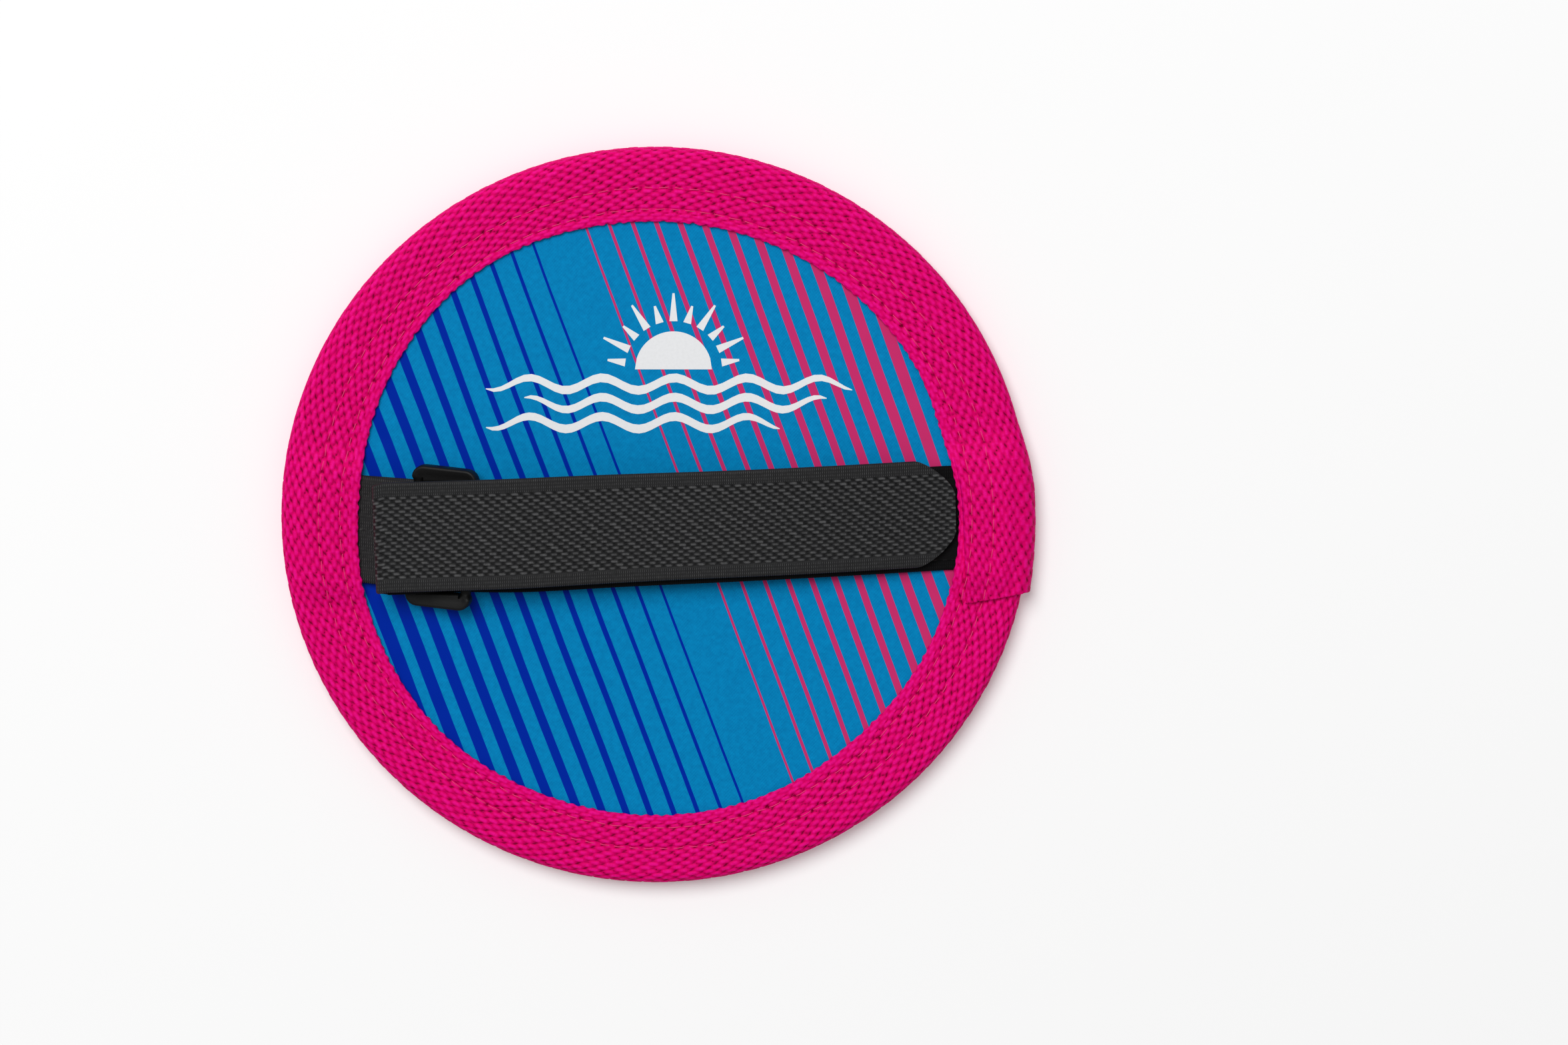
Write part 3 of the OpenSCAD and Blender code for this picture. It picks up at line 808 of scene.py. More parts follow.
TAIL_SET = 0.3
TAIL_PAST = 2.6
TAIL_END_ANGLES = np.radians([-15.0, -11.2])
TAIL_FADE = np.radians([4.0, 21.0])
TAIL_SINK = 1.35
TAIL_SWING_FROM = math.radians(3)
TAIL_SWING = (3.6, 1.0)
TAIL_EDGE = 0.7
TAIL_EDGE_LEAST = 0.04
TAIL_RIM_EASE = 3
TAIL_CUT_EASE = 1.6
TAIL_BACK = -1.0
TAIL_ROWS = 72
TAIL_COLUMNS = 190
tail_first = edge_l + TAIL_SET
tail_last = section_l / 2 + TAIL_PAST


def tail_end_angle(p):
    """Polar angle of the slanting cut across the lapped end."""
    return np.interp(p, [tail_first, upper_bend], TAIL_END_ANGLES)


def tail_height(angle):
    """Height of the lapped end over the webbing below: its thickness, sinking in at the far end."""
    return WEB_T * (1 - TAIL_SINK * smooth((angle - TAIL_FADE[0]) / (TAIL_FADE[1] - TAIL_FADE[0])))


def lapped_tail():
    """The webbing's end: round-edged, lying on its own start and swinging outwards towards the cut."""
    p = np.linspace(tail_first, tail_last, TAIL_ROWS)[None]
    start = tail_end_angle(p)
    angle = start + (TAIL_FADE[1] - start) * np.linspace(0, 1, TAIL_COLUMNS)[:, None]
    swing_q = np.clip((TAIL_SWING_FROM - angle) / (TAIL_SWING_FROM - TAIL_END_ANGLES[0]), 0, 1) ** 2
    swing = np.interp(p, [tail_first, upper_bend], TAIL_SWING) * swing_q
    from_edge = np.minimum(p - tail_first, (tail_last - p) / TAIL_RIM_EASE)
    from_edge = np.minimum(from_edge, (angle - start) * rim_r * TAIL_CUT_EASE)
    edge_q = np.clip(1 - from_edge / TAIL_EDGE, 0, 1)
    rounding = np.sqrt(np.clip(1 - edge_q ** 2, TAIL_EDGE_LEAST, 1))
    yarn = webbing_yarn(angle, p + np.zeros_like(angle))
    base = section(p)[0]
    radius = base[..., 0] + lap_drift(angle, base) + swing
    pull, hole = seam_pull(angle, radius, 0.0)
    out = tail_height(angle) * rounding - WEAVE_DEPTH * (1 - yarn) * rounding - pull
    front = webbing_points(angle, p, out, swing)
    back = webbing_points(angle, p, TAIL_BACK, swing)
    made = tubes("binding_lapped_end", np.concatenate([front, back[:, ::-1]], 1)[None])
    # The back takes yarn 0, so it is coloured with the painted gap shade
    set_yarn(made, np.concatenate([pierced(yarn, hole), 0 * yarn], 1))
    return dress(made, "paddle", "binding_webbing", pink_webbing, "edge_binding")


lapped_tail()

# Seams

STITCH_L = 3.0
THREAD_R = 0.11
THREAD_FLAT = 0.85
THREAD_UP = 0.1
THREAD_UNEVEN = 0.09
THREAD_OFF_FLOOR = 0.03
UPPER_DIVE = 0.55
LOWER_DIVE = 0.5
STRAY = 0.16
STRAY_STEP = 37.7
SKEW = 0.12
THREAD_STATIONS = 5
THREAD_SIDES = 6


def lap_top(angle, r):
    """Height of the binding's top at an angle and a radius, on the lapped end where that lies."""
    lift = lap_lift(r * np.cos(angle), r * np.sin(angle), r)
    turned = (angle + np.pi) % TAU - np.pi
    on_tail = (turned > tail_end_angle(place_on_lap(r))) & (turned < TAIL_FADE[1])
    return rim_h + lift + np.where(on_tail, np.maximum(tail_height(turned), 0), 0)


def seam(name, seam_r, upper, node):
    """A row of stitches: short arched threads, a little out of line and uneven.

    Their ends dive into the webbing with the fourth power of the place along the stitch.
    """
    number = np.arange(stitch_count(seam_r))[:, None]
    uneven = scatter(0, number)
    middle = (number + (0 if upper else 0.5)) * TAU / len(number)
    reach = np.linspace(-1, 1, THREAD_STATIONS)
    angle = middle + reach * STITCH_L / 2 / seam_r
    side = np.arange(THREAD_SIDES) * TAU / THREAD_SIDES
    if upper:
        sink = SEAM_DEPTH - THREAD_UP + THREAD_UNEVEN * uneven + UPPER_DIVE * reach ** 4
        z = lap_top(angle, np.full_like(angle, seam_r)) - sink
    else:
        z = np.full_like(angle, THREAD_R + THREAD_OFF_FLOOR) + LOWER_DIVE * reach ** 4
    line = seam_r + STRAY * np.sin(STRAY_STEP * number) + SKEW * uneven * reach
    r = line[..., None] + THREAD_R * np.cos(side)[None, None]
    points = np.stack([
        r * np.cos(angle)[..., None],
        r * np.sin(angle)[..., None],
        z[..., None] + THREAD_FLAT * THREAD_R * np.sin(side)[None, None],
    ], -1)
    return dress(tubes(name, points), "paddle", "seam_thread", seam_thread, node)


for place, seam_set in zip(("outer", "inner"), SEAM_SETS):
    seam(f"{place}_upper_seam", rim_r - seam_set, True, f"{place}_seam_top_thread")
    seam(f"{place}_lower_seam", rim_r - seam_set, False, f"{place}_seam_bottom_thread")

# Padded back

PAD_ROWS = 72
PAD_COLUMNS = 360
RETURN_ROWS = 4
PUCKER_H = 0.07
PUCKER_SET = 3.0
PUCKER_REACH = 4.0
PUCKERS = (37, 61)
SECOND_PUCKER = 0.6
COVER_SINK = 0.02


def disc_places(rows, columns):
    """A disc's points, out over one face and back over the other: X, Y, radius and a mask of the first."""
    radius = np.concatenate([np.linspace(0, core_r, rows), np.linspace(core_r, 0, RETURN_ROWS)])
    angle = (np.arange(columns) * TAU / columns)[:, None]
    return radius * np.cos(angle), radius * np.sin(angle), radius, np.arange(len(radius)) < rows


def pad_top(x, y):
    """Height of the padded back: a crown falling with the radius squared, and faint waves near the seam."""
    r = np.hypot(x, y)
    angle = np.arctan2(y, x)
    crown = crown_h * np.clip(1 - (r / crown_r) ** 2, 0, 1)
    near = bell((r - inner_r + PUCKER_SET) / PUCKER_REACH)
    waves = np.sin(PUCKERS[0] * angle) + SECOND_PUCKER * np.sin(PUCKERS[1] * angle + 1)
    return deck_z + crown + PUCKER_H * near * waves


def padded_back():
    """The cover over its foam as one closed pad: top, side and underside carried round the middle."""
    x, y, radius, top = disc_places(PAD_ROWS, PAD_COLUMNS)
    top_z = np.where(radius < inner_r, pad_top(x, y), deck_z - COVER_SINK)
    z = np.where(top, top_z, foam_z)
    made = tubes("padded_back", np.stack([x, y, z], -1)[None], closed=True, weld=True)
    return dress(made, "paddle", "cover_cloth", printed_knit, "back_cover", "foam_pad")


padded_back()

# White print: a plain sun over wavy lines, as thin films on the back

FILM_T = 0.06
FILM_STATIONS = 49
FILM_ACROSS = 5
FILM_SHARP_DEGREES = 40
SUN_AT = np.array([4.0, 36.5])
SUN_R = 9.0
SUN_LEAST = 1e-4
RAYS = 11
RAY_FROM = 11.4
RAY_LENGTHS = (4.2, 6.6)
RAY_HALF = 0.95
RAY_TAPER = 0.7
WAVE_LEVELS = (33.0, 28.4, 23.8)
WAVE_SPANS = ((-40.0, 46.0), (-31.0, 40.0), (-40.0, 29.0))
WAVE_L = 17.0
WAVE_H = 1.5
WAVE_W = 2.1
WAVE_LEAST = 0.01


def sun_edges(along):
    """Lower and upper edge of a half disc: a straight line and a half circle."""
    x = SUN_AT[0] + SUN_R * (2 * along - 1)
    low = np.full_like(x, SUN_AT[1])
    high = low + SUN_R * np.sqrt(np.clip(1 - (2 * along - 1) ** 2, SUN_LEAST, 1))
    return np.stack([x, low], -1), np.stack([x, high], -1)


def ray_edges(along, number):
    """Edges of one tapering ray of the sun, long and short by turns."""
    angle = np.pi * (number + 0.5) / RAYS
    ahead = np.array([math.cos(angle), math.sin(angle)])
    beside = np.array([-ahead[1], ahead[0]])
    middle = SUN_AT + ahead * (RAY_FROM + RAY_LENGTHS[number % 2] * along[:, None])
    half = (RAY_HALF - RAY_TAPER * along)[:, None] * beside
    return middle - half, middle + half


def wave_edges(along, level, span):
    """Edges of one line along a sine, full in the middle and thin at its ends."""
    x = span[0] + (span[1] - span[0]) * along
    y = level + WAVE_H * np.sin(TAU * x / WAVE_L)
    half = WAVE_W / 2 * np.sqrt(np.clip(1 - (2 * along - 1) ** 4, WAVE_LEAST, 1))
    return np.stack([x, y - half], -1), np.stack([x, y + half], -1)


def printed_motif():
    """All films of the print as one piece, each a strip between two edges laid on the back."""
    along = np.linspace(0, 1, FILM_STATIONS)
    edges = [sun_edges(along)]
    edges += [ray_edges(along, number) for number in range(RAYS)]
    edges += [wave_edges(along, level, span) for level, span in zip(WAVE_LEVELS, WAVE_SPANS)]
    first, second = (np.array([pair[n] for pair in edges])[:, :, None] for n in (0, 1))
    across = np.linspace(0, 1, FILM_ACROSS)[None, None, :, None]
    flat = first + (second - first) * across
    z = pad_top(flat[..., 0], flat[..., 1])[..., None]
    top = np.concatenate([flat, z + FILM_T], -1)
    low = np.concatenate([flat, z - FILM_T], -1)
    films = np.concatenate([top, low[:, :, ::-1]], 2)
    made = tubes("printed_motif", films, sharp=FILM_SHARP_DEGREES)
    return dress(made, "paddle", "cover_cloth", white_film)


printed_motif()

# Hand strap: grids are stations along it and places across it

STRAP_FACES = (-STRAP_T / 2, STRAP_T / 2)
TAB_FACES = (-TAB_T / 2, TAB_T / 2)
BAND_GRID = (330, 100)
FOLD_GRID = (30, 122)
FLAP_GRID = (400, 122)
TAB_GRID = (150, 50)
DASH_L = 2.6
DASH_W = 0.8
STRAP_DEPTH = 0.24
STRAP_EDGE = 0.5
STRAP_EDGE_LIMIT = 0.92
PLAIN_TONE = 0.85
# Darkening of the flap's and fold's lower face: partly the strap's other face, partly painted shade
BACK_FACE_AND_SHADE = 0.4
BAND_PULL = -0.9
BAND_PULL_AT = -34.0
BAND_PULL_REACH = 20.0
BAND_RISE = 0.5
BAND_RISE_FROM = -40.0
BAND_RISE_L = 80.0
FLAP_FLARE = 0.7
FLAP_FLARE_TO = 20.0
HEADING_STEP = 0.1
TIP_L = 9.5
TIP_FLAT = 4.4
TIP_POWERS = (1.5, 0.75)

bar_z = bar_at[2]
far_bar_xy = plan(BAR_GAP * math.cos(RING_TILT), 0.0, *ring_line)
far_bar_s = off_line(*far_bar_xy, *strap_line)[0]
lift_s = inner_r - MOUTH_L
lie_z = deck_z + STRAP_T / 2
under_z = bar_z + BAR_GAP * math.sin(RING_TILT) - BAR_D / 2 - STRAP_PLAY - STRAP_T / 2
level_s = far_bar_s + LEVEL_PAST
layer_gap = STRAP_T + PILE_T + CLOSE_GAP + PATCH_T
tip_s = (node_box("strap_flap")[1][0] + FLAP_SHIFT * math.sin(strap_turn)) / math.cos(strap_turn)
fold_r = (level_z - fold_low_z) / 2


def band_z(s):
    """Height of the strap's middle: flat at the binding, a sine bow, then a smooth rise to the fold."""
    q = (lift_s - s) / (lift_s - far_bar_s)
    bow = lie_z + (under_z - lie_z) * q + BOW_H * np.sin(np.pi * q)
    rise = under_z + (fold_low_z - under_z) * smooth((far_bar_s - s) / (far_bar_s - fold_s))
    return np.where(s >= lift_s, lie_z, np.where(s >= far_bar_s, bow, rise))


def flap_z(s):
    """Height of the flap's middle: level from the fold past the ring, then down to lie along the strap."""
    close_z = band_z(s) + layer_gap
    return level_z + (close_z - level_z) * smooth((s - level_s) / SINK_L)


def band_drift(s, t):
    """How far the band strays sideways.

    A smooth bump near the ring moves it whole, and towards its end a smooth step draws its lower edge in.
    """
    pull = BAND_PULL * bell((s - BAND_PULL_AT) / BAND_PULL_REACH)
    return pull + BAND_RISE * smooth((s - BAND_RISE_FROM) / BAND_RISE_L) * (0.5 - t / STRAP_W)


def flap_shift(s, t):
    """Sideways shift of the folded-back flap, whose lower edge bows out a little over the ring."""
    flare = FLAP_FLARE * smooth((FLAP_FLARE_TO - s) / (FLAP_FLARE_TO - level_s))
    return FLAP_SHIFT - flare * (0.5 - t / STRAP_W)


def heading(height, s):
    """Slope angle of a line of heights."""
    return np.arctan2(height(s + HEADING_STEP) - height(s - HEADING_STEP), 2 * HEADING_STEP)


def tip_line(t, half_w, length):
    """How far a rounded tip reaches at each place across: flat in the middle, then easy power curves."""
    q = np.clip((np.abs(t) - TIP_FLAT) / (half_w - TIP_FLAT), 0, 1)
    return length * (1 - q ** TIP_POWERS[0]) ** TIP_POWERS[1]


def places_across(half_w, count):
    """Even places across a strip, as one row."""
    return np.linspace(-half_w, half_w, count)[None]


def strap_yarn(s, t):
    """Height of the strap's yarn: rows of dashes staggered by half, and a plain band along each edge."""
    dashes = woven(s / DASH_L, t / DASH_W, **STRAP_WEAVE)
    return dashes + (PLAIN_TONE - dashes) * smooth((np.abs(t) - PANEL_HALF) / PANEL_EDGE)


def strip(name, s, z, angle, t, faces, line, weave_s=None, shift=0.0, back_tone=1.0):
    """A strip of webbing over a line in plan: its middle at (s, z) heading at an angle, t across it.

    Its faces lie off the middle by the two values given. They draw together at the edges, and the weave
    sinks in from both. Arrays are [station, place across]. A back tone under 1 darkens the lower face,
    partly as the strap's other face and partly as painted shade matching the band below, and that face
    then shows no ribs.
    """
    low, high = faces
    s, z, angle, t = np.broadcast_arrays(s, z, angle, t)
    weave_s = s if weave_s is None else np.broadcast_to(weave_s, s.shape)
    yarn = strap_yarn(weave_s, t)
    past_edge = (np.abs(t) - np.max(np.abs(t)) + STRAP_EDGE) / STRAP_EDGE
    rounding = np.sqrt(np.clip(1 - np.clip(past_edge, 0, STRAP_EDGE_LIMIT) ** 2, 0, 1))
    middle = (low + high) / 2
    half = (high - low) / 2 * rounding - STRAP_DEPTH * (1 - yarn)

    def face(off):
        """Points off the middle, square to its heading."""
        x, y = plan(s - off * np.sin(angle), t + shift, *line)
        return np.stack([x, y, z + off * np.cos(angle)], -1)

    def both(upper, lower):
        """The upper face's values, then the lower's on the way back."""
        return np.concatenate([upper, lower[:, ::-1]], 1)

    made = tubes(name, both(face(middle + half), face(middle - half))[None])
    set_yarn(made, both(yarn, back_tone * yarn))
    set_cloth_map(made, both(weave_s, weave_s), both(t, t if back_tone == 1 else 0 * t))
    return made


def strap_strip(name, height, s, t, faces, **settings):
    """A strip along the strap, whose middle follows a line of heights."""
    return strip(name, s, height(s), heading(height, s), t, faces, strap_line, **settings)


def hand_band():
    """The strap from under the binding, over the hand's room and through the ring to the fold."""
    s = np.linspace(fold_s, inner_r + TUCK_L, BAND_GRID[0])[:, None]
    t = places_across(STRAP_W / 2, BAND_GRID[1])
    made = strap_strip("strap_band", band_z, s, t, STRAP_FACES, shift=band_drift(s, t))
    return dress(made, "paddle", "strap_webbing", band_face_and_shade_webbing, "hand_band")


def strap_fold():
    """The half circle that joins the band to the flap, shifting sideways as it turns."""
    turned = np.linspace(0, np.pi, FOLD_GRID[0])[:, None]
    t = places_across(STRAP_W / 2, FOLD_GRID[1])
    s = fold_s - fold_r * np.sin(turned)
    z = (fold_low_z + level_z) / 2 - fold_r * np.cos(turned)
    made = strip(
        "strap_turn", s, z, np.pi - turned, t, STRAP_FACES, strap_line,
        weave_s=fold_s - (np.pi - turned) * fold_r,
        shift=flap_shift(fold_s, t) * turned / np.pi,
        back_tone=BACK_FACE_AND_SHADE,
    )
    dress(made, None, "strap_webbing", black_webbing, "strap_fold")
    # Counted from the flap, the bend opens on its outer side at a half turn too
    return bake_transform(made)


def strap_flap():
    """The part folded back over the band, with a rounded tip."""
    t = places_across(STRAP_W / 2, FLAP_GRID[1])
    tip = tip_s - TIP_L + tip_line(t, STRAP_W / 2, TIP_L)
    s = fold_s + (tip - fold_s) * np.linspace(0, 1, FLAP_GRID[0])[:, None]
    shift = flap_shift(s, t)
    made = strap_strip("strap_flap_end", flap_z, s, t, STRAP_FACES, shift=shift, back_tone=BACK_FACE_AND_SHADE)
    return dress(made, "flap", "strap_webbing", black_webbing, "strap_flap")


hand_band()
strap_fold()
strap_flap()

# Buckle ring and its tab

RING_STATIONS = 240
RING_SIDES = 28
RING_CORNER = 1.4
RING_CORNER_POINTS = 12
RING_SHARP_DEGREES = 50
WALL_REACH = 2.6
WALL_EASE = 1.4
WALL_SQUARE = 0.62
WALL_TAPER = 1.1
LIP_H = 0.4
LIP_FROM = 0.35
LIP_EASE = 0.3
MOUTH_SLACK = 0.5
TAB_BEND_POINTS = 40


def rounded_rectangle(low, high, radius, count):
    """Points along a rounded rectangle at even steps, with the direction outwards at each."""
    corners = [(high, 0), ((low[0], high[1]), 90), (low, 180), ((high[0], low[1]), 270)]
    outline = []
    for corner, first in corners:
        angle = np.radians(first + np.linspace(0, 90, RING_CORNER_POINTS))
        outward = np.stack([np.cos(angle), np.sin(angle)], -1)
        centre = np.array(corner) - radius * (outward[0] + outward[-1])
        outline.append(np.concatenate([centre + radius * outward, outward], -1))
    outline = np.concatenate(outline)
    outline = np.concatenate([outline, outline[:1]])
    runs = run_lengths(outline[:, :2])
    found = points_along(outline, runs, np.arange(count) * runs[-1] / count)
    return found[:, :2], found[:, 2:] / np.linalg.norm(found[:, 2:], axis=1, keepdims=True)


def buckle_ring():
    """A section carried round a rounded rectangle.

    It is a circle on the two bars and a squarish power curve with a lip on the end walls, whose inner sides
    taper along their length.
    """
    half_l = RING_L / 2 - RING_WALL / 2
    middle, outward = rounded_rectangle((0.0, -half_l), (BAR_GAP, half_l), RING_CORNER, RING_STATIONS)
    wall = smooth((np.abs(middle[:, 1]) - half_l + WALL_REACH) / WALL_EASE)[:, None]
    around = (np.arange(RING_SIDES) * TAU / RING_SIDES)[None]

    def swell(turn, wall_size):
        """Reach of the section at a cosine or sine round it: its power drops below 1 on the walls."""
        reach = BAR_D / 2 + (wall_size - BAR_D) / 2 * wall
        return reach * np.sign(turn) * np.abs(turn) ** (1 - WALL_SQUARE * wall)

    side = swell(np.cos(around), RING_WALL)
    up = swell(np.sin(around), RING_T)
    up = up + LIP_H * wall * smooth((side - LIP_FROM) / LIP_EASE) * (up > 0)
    along = np.clip(middle[:, :1] / BAR_GAP, 0, 1)
    thinned = np.where(middle[:, 1:] < 0, along, 1 - along)
    inwards = WALL_TAPER * wall * outward[:, 1:] ** 2 * thinned
    side = side - inwards * smooth(0.5 - side / RING_WALL)
    u = middle[:, :1] + outward[:, :1] * side
    v = middle[:, 1:] + outward[:, 1:] * side
    tilted = u * math.cos(RING_TILT) - up * math.sin(RING_TILT)
    z = bar_z + u * math.sin(RING_TILT) + up * math.cos(RING_TILT)
    x, y = plan(tilted, v, *ring_line)
    made = tubes("plastic_ring", np.stack([x, y, z], -1)[None], closed=True, sharp=RING_SHARP_DEGREES)
    return dress(made, "ring", "ring_plastic", ring_plastic, "buckle_ring")


def tab_path(count):
    """Middle line of the tab's side view at even steps: in along the back, round the bar and out above."""
    tuck = -node_box("strap_tab")[0][0] + bar_at[0]
    mouth = tuck - TUCK_L - MOUTH_L + MOUTH_SLACK
    low = np.array([-mouth, deck_z + TAB_T / 2])
    high = low + [0, TAB_T]
    centre = np.array([0.0, bar_z])
    loop_r = BAR_D / 2 + BAR_PLAY + TAB_T / 2
    ends = []
    for point, side in ((low, 1), (high, -1)):
        away = point - centre
        ends.append(math.atan2(away[1], away[0]) + side * math.acos(loop_r / np.linalg.norm(away)))
    first = ends[0] - TAU if ends[0] > ends[1] else ends[0]
    angle = np.linspace(first, ends[1], TAB_BEND_POINTS)
    bend = centre + loop_r * np.stack([np.cos(angle), np.sin(angle)], -1)
    line = np.concatenate([[[-tuck, low[1]], low], bend, [high, [-tuck, high[1]]]])
    runs = run_lengths(line)
    even = np.linspace(0, runs[-1], count)
    return even, points_along(line, runs, even)


def strap_tab():
    """The folded tab that holds the ring: one strip round the bar, both ends under the binding."""
    even, line = tab_path(TAB_GRID[0])
    ahead = np.gradient(line, axis=0)
    angle = np.arctan2(ahead[:, 1], ahead[:, 0])[:, None]
    t = places_across(STRAP_W / 2, TAB_GRID[1])
    made = strip(
        "ring_tab", line[:, :1], line[:, 1:], angle, t, TAB_FACES, ring_line, weave_s=even[:, None]
    )
    return dress(made, "paddle", "strap_webbing", tab_webbing, "strap_tab")


buckle_ring()
strap_tab()

# Hooks and loops

HOOK_PITCH = (1.62, 1.46)
HOOK_W = 0.2
HOOK_ROOT = 0.05
BASE_Z = WEB_T + HOOK_ROOT
FIELD_SET = 1.2
DISC_ROWS = 48
DISC_COLUMNS = 240
DISC_ROW_H = 0.04
PILE_GRID = (240, 72)
PILE_ROOT = 0.1
PILE_SET = 0.4
TUFT_H = 0.1
TUFT_ALONG = (4.1, 3, 1.3)
TUFT_ACROSS = (3.7, 2.4, 0.9)
TAPE_GRID = (90, 40)
TAPE_HALF = 0.2
TAPE_PITCH = (1.3, 1.2)
TAPE_HOOK_W = 0.14
TAPE_END_SET = 0.8
TAPE_SIDE_SET = 0.6
TAPE_ROOT = 0.03

# A hook from its root to its tip: how far out and up it is, its lean and its share of the thickness
HOOK_OUT = np.array([0.0, 0.03, 0.24, 0.52])
HOOK_OUT_FOR = 1.15
HOOK_UP = np.array([0.0, 0.68, 1.0, 0.8])
HOOK_LEAN = np.radians([0.0, 12.0, 80.0, 150.0])
HOOK_THICK = np.array([1.25, 1.0, 0.9, 0.6])


def hook_shape(height, width):
    """A hook in its own frame: a square stem that bends over at its tip, as [station, place round it]."""
    out = HOOK_OUT * height / HOOK_OUT_FOR
    up = HOOK_UP * height
    half = width / 2 * HOOK_THICK
    sides = np.array([[-1, -1], [1, -1], [1, 1], [-1, 1]])
    across = half[:, None] * sides[:, 0]
    deep = half[:, None] * sides[:, 1]
    return np.stack([
        out[:, None] + deep * np.cos(HOOK_LEAN)[:, None],
        across,
        up[:, None] - deep * np.sin(HOOK_LEAN)[:, None],
    ], -1)


def hook_rows(half_l, half_w, pitch):
    """Places of hooks in staggered rows over a rectangle, with the way each row faces."""
    column, row = np.meshgrid(
        np.arange(-int(half_l / pitch[0]), int(half_l / pitch[0]) + 1),
        np.arange(-int(half_w / pitch[1]), int(half_w / pitch[1]) + 1),
    )
    x = (column + 0.5 * (row % 2)) * pitch[0]
    return x.ravel(), (row * pitch[1]).ravel(), np.where(row % 2, 1.0, -1.0).ravel()


def hook_disc():
    """The catching side's hook cloth: a disc with faint rows, and its field of plastic hooks."""
    x, y, radius, lower = disc_places(DISC_ROWS, DISC_COLUMNS)
    rows = DISC_ROW_H * np.sin(TAU * y / HOOK_PITCH[1]) * (radius < inner_r)
    z = np.where(lower, WEB_T + rows, node_box("catch_face")[1][2])
    made = tubes("hook_cloth_disc", np.stack([x, y, z], -1)[None], closed=True, weld=True)
    dress(made, "paddle", "hook_fabric", hook_cloth, "catch_face")
    x, y, way = hook_rows(inner_r, inner_r, HOOK_PITCH)
    inside = np.hypot(x, y) < inner_r - FIELD_SET
    x, y, way = (values[inside][:, None, None] for values in (x, y, way))
    shape = hook_shape(BASE_Z - hook_tip_z - HOOK_W / 2, HOOK_W)[None]
    points = np.stack([
        x + way * shape[..., 0],
        y + way * shape[..., 1],
        BASE_Z - np.broadcast_to(shape[..., 2], (len(x), *shape.shape[1:3])),
    ], -1)
    hooks = tubes("catching_hooks", points)
    return dress(hooks, "paddle", "hook_fabric", hook_plastic, "catch_face")


def tuft(s, t):
    """Unevenness of the pile from 0 to 1: two crossed waves, each bent by a wave of the other."""
    along = np.sin(TUFT_ALONG[0] * s + TUFT_ALONG[1] * np.sin(TUFT_ALONG[2] * t))
    across = np.sin(TUFT_ACROSS[0] * t + TUFT_ACROSS[1] * np.sin(TUFT_ACROSS[2] * s))
    return 0.5 + 0.25 * along + 0.25 * across


def pile_strip():
    """The strip of loop pile on the band: a soft uneven ribbon."""
    s = np.linspace(lift_s - PILE_L, inner_r - PILE_SET, PILE_GRID[0])[:, None]
    t = places_across(STRAP_W / 2 - CLOSURE_EDGE, PILE_GRID[1])
    faces = (STRAP_T / 2 - PILE_ROOT, STRAP_T / 2 + PILE_T - TUFT_H * tuft(s, t))
    made = strap_strip("loop_pile_strip", band_z, s, t, faces)
    return dress(made, "paddle", "loop_pile", loop_pile, "loop_strip")


def patch():
    """The hook tape under the flap's tip: its backing, and the hooks that point down at the pile."""
    half_w = STRAP_W / 2 - CLOSURE_EDGE
    first = tip_s - PATCH_L
    round_l = TIP_L - CLOSURE_EDGE
    t = places_across(half_w, TAPE_GRID[1])
    tip = tip_s - TIP_L + tip_line(t, half_w, round_l)
    s = first + (tip - first) * np.linspace(0, 1, TAPE_GRID[0])[:, None]
    back_z = -STRAP_T / 2 - TAPE_HALF
    faces = (back_z, -STRAP_T / 2 + TAPE_HALF)
    made = strap_strip("hook_tape", flap_z, s, t, faces, shift=FLAP_SHIFT)
    dress(made, "flap", "hook_tape", hook_cloth, "hook_patch")
    u, v, way = hook_rows(PATCH_L / 2, half_w, TAPE_PITCH)
    u = u + first + PATCH_L / 2
    limit = tip_s - TIP_L + tip_line(v, half_w, round_l)
    kept = (u > first + TAPE_END_SET) & (u < limit - TAPE_END_SET) & (np.abs(v) < half_w - TAPE_SIDE_SET)
    u, v, way = (values[kept][:, None, None] for values in (u, v, way))
    shape = hook_shape(PATCH_T - TAPE_HALF, TAPE_HOOK_W)[None]
    s = u + way * shape[..., 0]
    off = back_z + TAPE_ROOT - shape[..., 2]
    angle = heading(flap_z, u)
    x, y = plan(s - off * np.sin(angle), v + way * shape[..., 1] + FLAP_SHIFT, *strap_line)
    z = flap_z(u) + (s - u) * np.tan(angle) + off * np.cos(angle)
    hooks = tubes("tape_hooks", np.stack([x, y, np.broadcast_to(z, x.shape)], -1))
    return dress(hooks, "flap", "hook_tape", hook_plastic, "hook_patch")


hook_disc()
pile_strip()
patch()

# The board inside keeps its solid
board = frame["nodes"]["stiffener_board"]
board.data.materials.clear()
board.data.materials.append(grey_board)

# Floor, light and camera

PHOTO_W, PHOTO_H = 2353, 1568
PIXEL_MM = 0.1572
DISC_AT_PX = (985.0, 784.0)
VIEW_TILT = math.radians(11.3)
CAMERA_FAR = 1.2
SENSOR_W = 36.0
FLOOR_HALF = 3.0
FLOOR_COLOUR = (0.96, 0.96, 0.96, 1.0)
FLOOR_ROUGHNESS = 0.9
FLOOR_GLOW = 0.14
SKY = 0.32
KEY_AT = Vector((-0.7, 1.5, 2.7))
KEY_SIZE = 1.8
KEY_POWER = 68.0


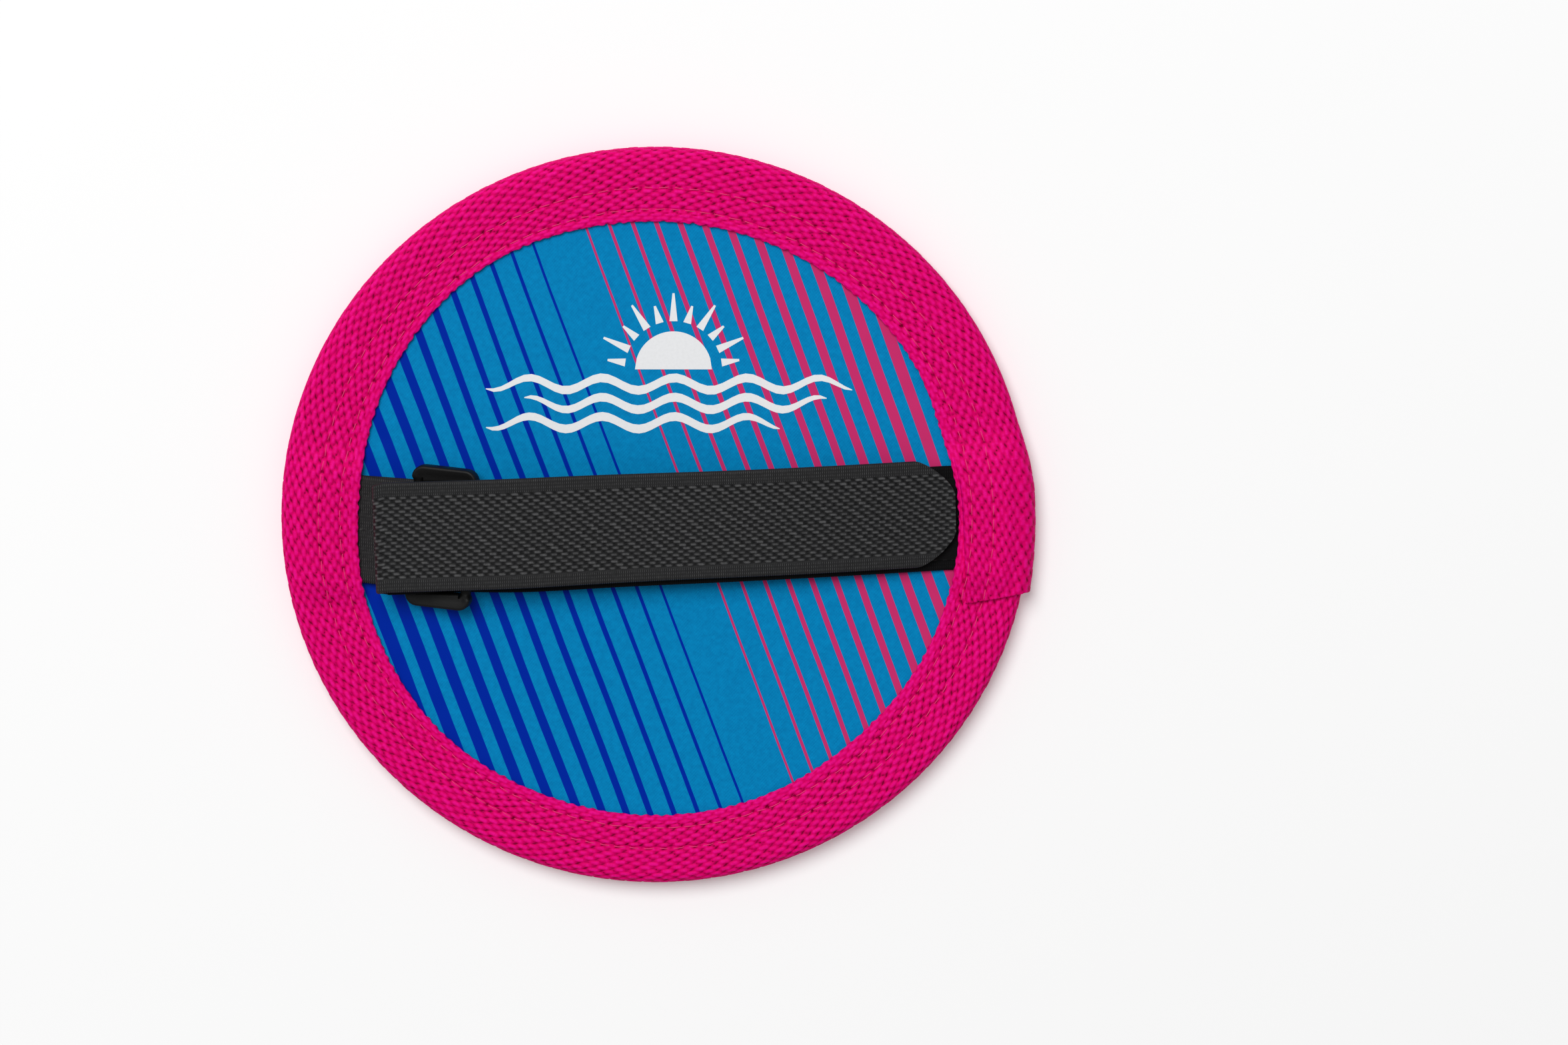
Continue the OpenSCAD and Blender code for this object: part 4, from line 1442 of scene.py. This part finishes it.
def make_floor():
    """A pale floor that takes the shadow and shows near white."""
    h = FLOOR_HALF
    mesh = bpy.data.meshes.new("floor")
    mesh.from_pydata([(-h, -h, 0), (h, -h, 0), (h, h, 0), (-h, h, 0)], [], [(0, 1, 2, 3)])
    floor = bpy.data.objects.new("floor", mesh)
    bpy.context.scene.collection.objects.link(floor)
    made, tree, shader = new_material("floor_white", FLOOR_ROUGHNESS, specular=0.0)
    shader.inputs["Base Color"].default_value = FLOOR_COLOUR
    seen = add(tree, "ShaderNodeLightPath").outputs["Is Camera Ray"]
    tree.links.new(seen, shader.inputs["Emission Color"])
    shader.inputs["Emission Strength"].default_value = FLOOR_GLOW
    mesh.materials.append(made)


def make_light():
    """Even white surroundings and one large soft lamp from the picture's upper left."""
    world = bpy.data.worlds.new("surroundings")
    world.use_nodes = True
    world.node_tree.nodes["Background"].inputs["Color"].default_value = (1, 1, 1, 1)
    world.node_tree.nodes["Background"].inputs["Strength"].default_value = SKY
    bpy.context.scene.world = world
    lamp = bpy.data.lights.new("key", "AREA")
    lamp.shape = "DISK"
    lamp.size = KEY_SIZE
    lamp.energy = KEY_POWER
    key = bpy.data.objects.new("key", lamp)
    key.location = KEY_AT
    key.rotation_euler = (-KEY_AT).to_track_quat("-Z", "Y").to_euler()
    bpy.context.scene.collection.objects.link(key)


def make_camera():
    """The camera at the photograph's angle: the paddle's middle lands on its pixel, with Y up the image."""
    data = bpy.data.cameras.new("camera")
    data.sensor_width = SENSOR_W
    data.lens = SENSOR_W * CAMERA_FAR / (PHOTO_W * PIXEL_MM * MM)
    camera = bpy.data.objects.new("camera", data)
    middle = Vector((0, 0, rim_h * MM))
    back = Vector((0, math.sin(VIEW_TILT), math.cos(VIEW_TILT)))
    up = Vector((0, math.cos(VIEW_TILT), -math.sin(VIEW_TILT)))
    location = middle + CAMERA_FAR * back
    right_mm = (PHOTO_W / 2 - DISC_AT_PX[0]) * PIXEL_MM
    down_mm = (PHOTO_H / 2 - DISC_AT_PX[1]) * PIXEL_MM
    aim = middle + Vector((1, 0, 0)) * right_mm * MM - up * down_mm * MM
    ahead = (aim - location).normalized()
    right = ahead.cross(up).normalized()
    turn = Matrix((right, right.cross(ahead), -ahead)).transposed()
    camera.matrix_world = Matrix.Translation(location) @ turn.to_4x4()
    bpy.context.scene.collection.objects.link(camera)
    bpy.context.scene.camera = camera


make_floor()
make_light()
make_camera()
bpy.context.scene.view_settings.view_transform = "Standard"
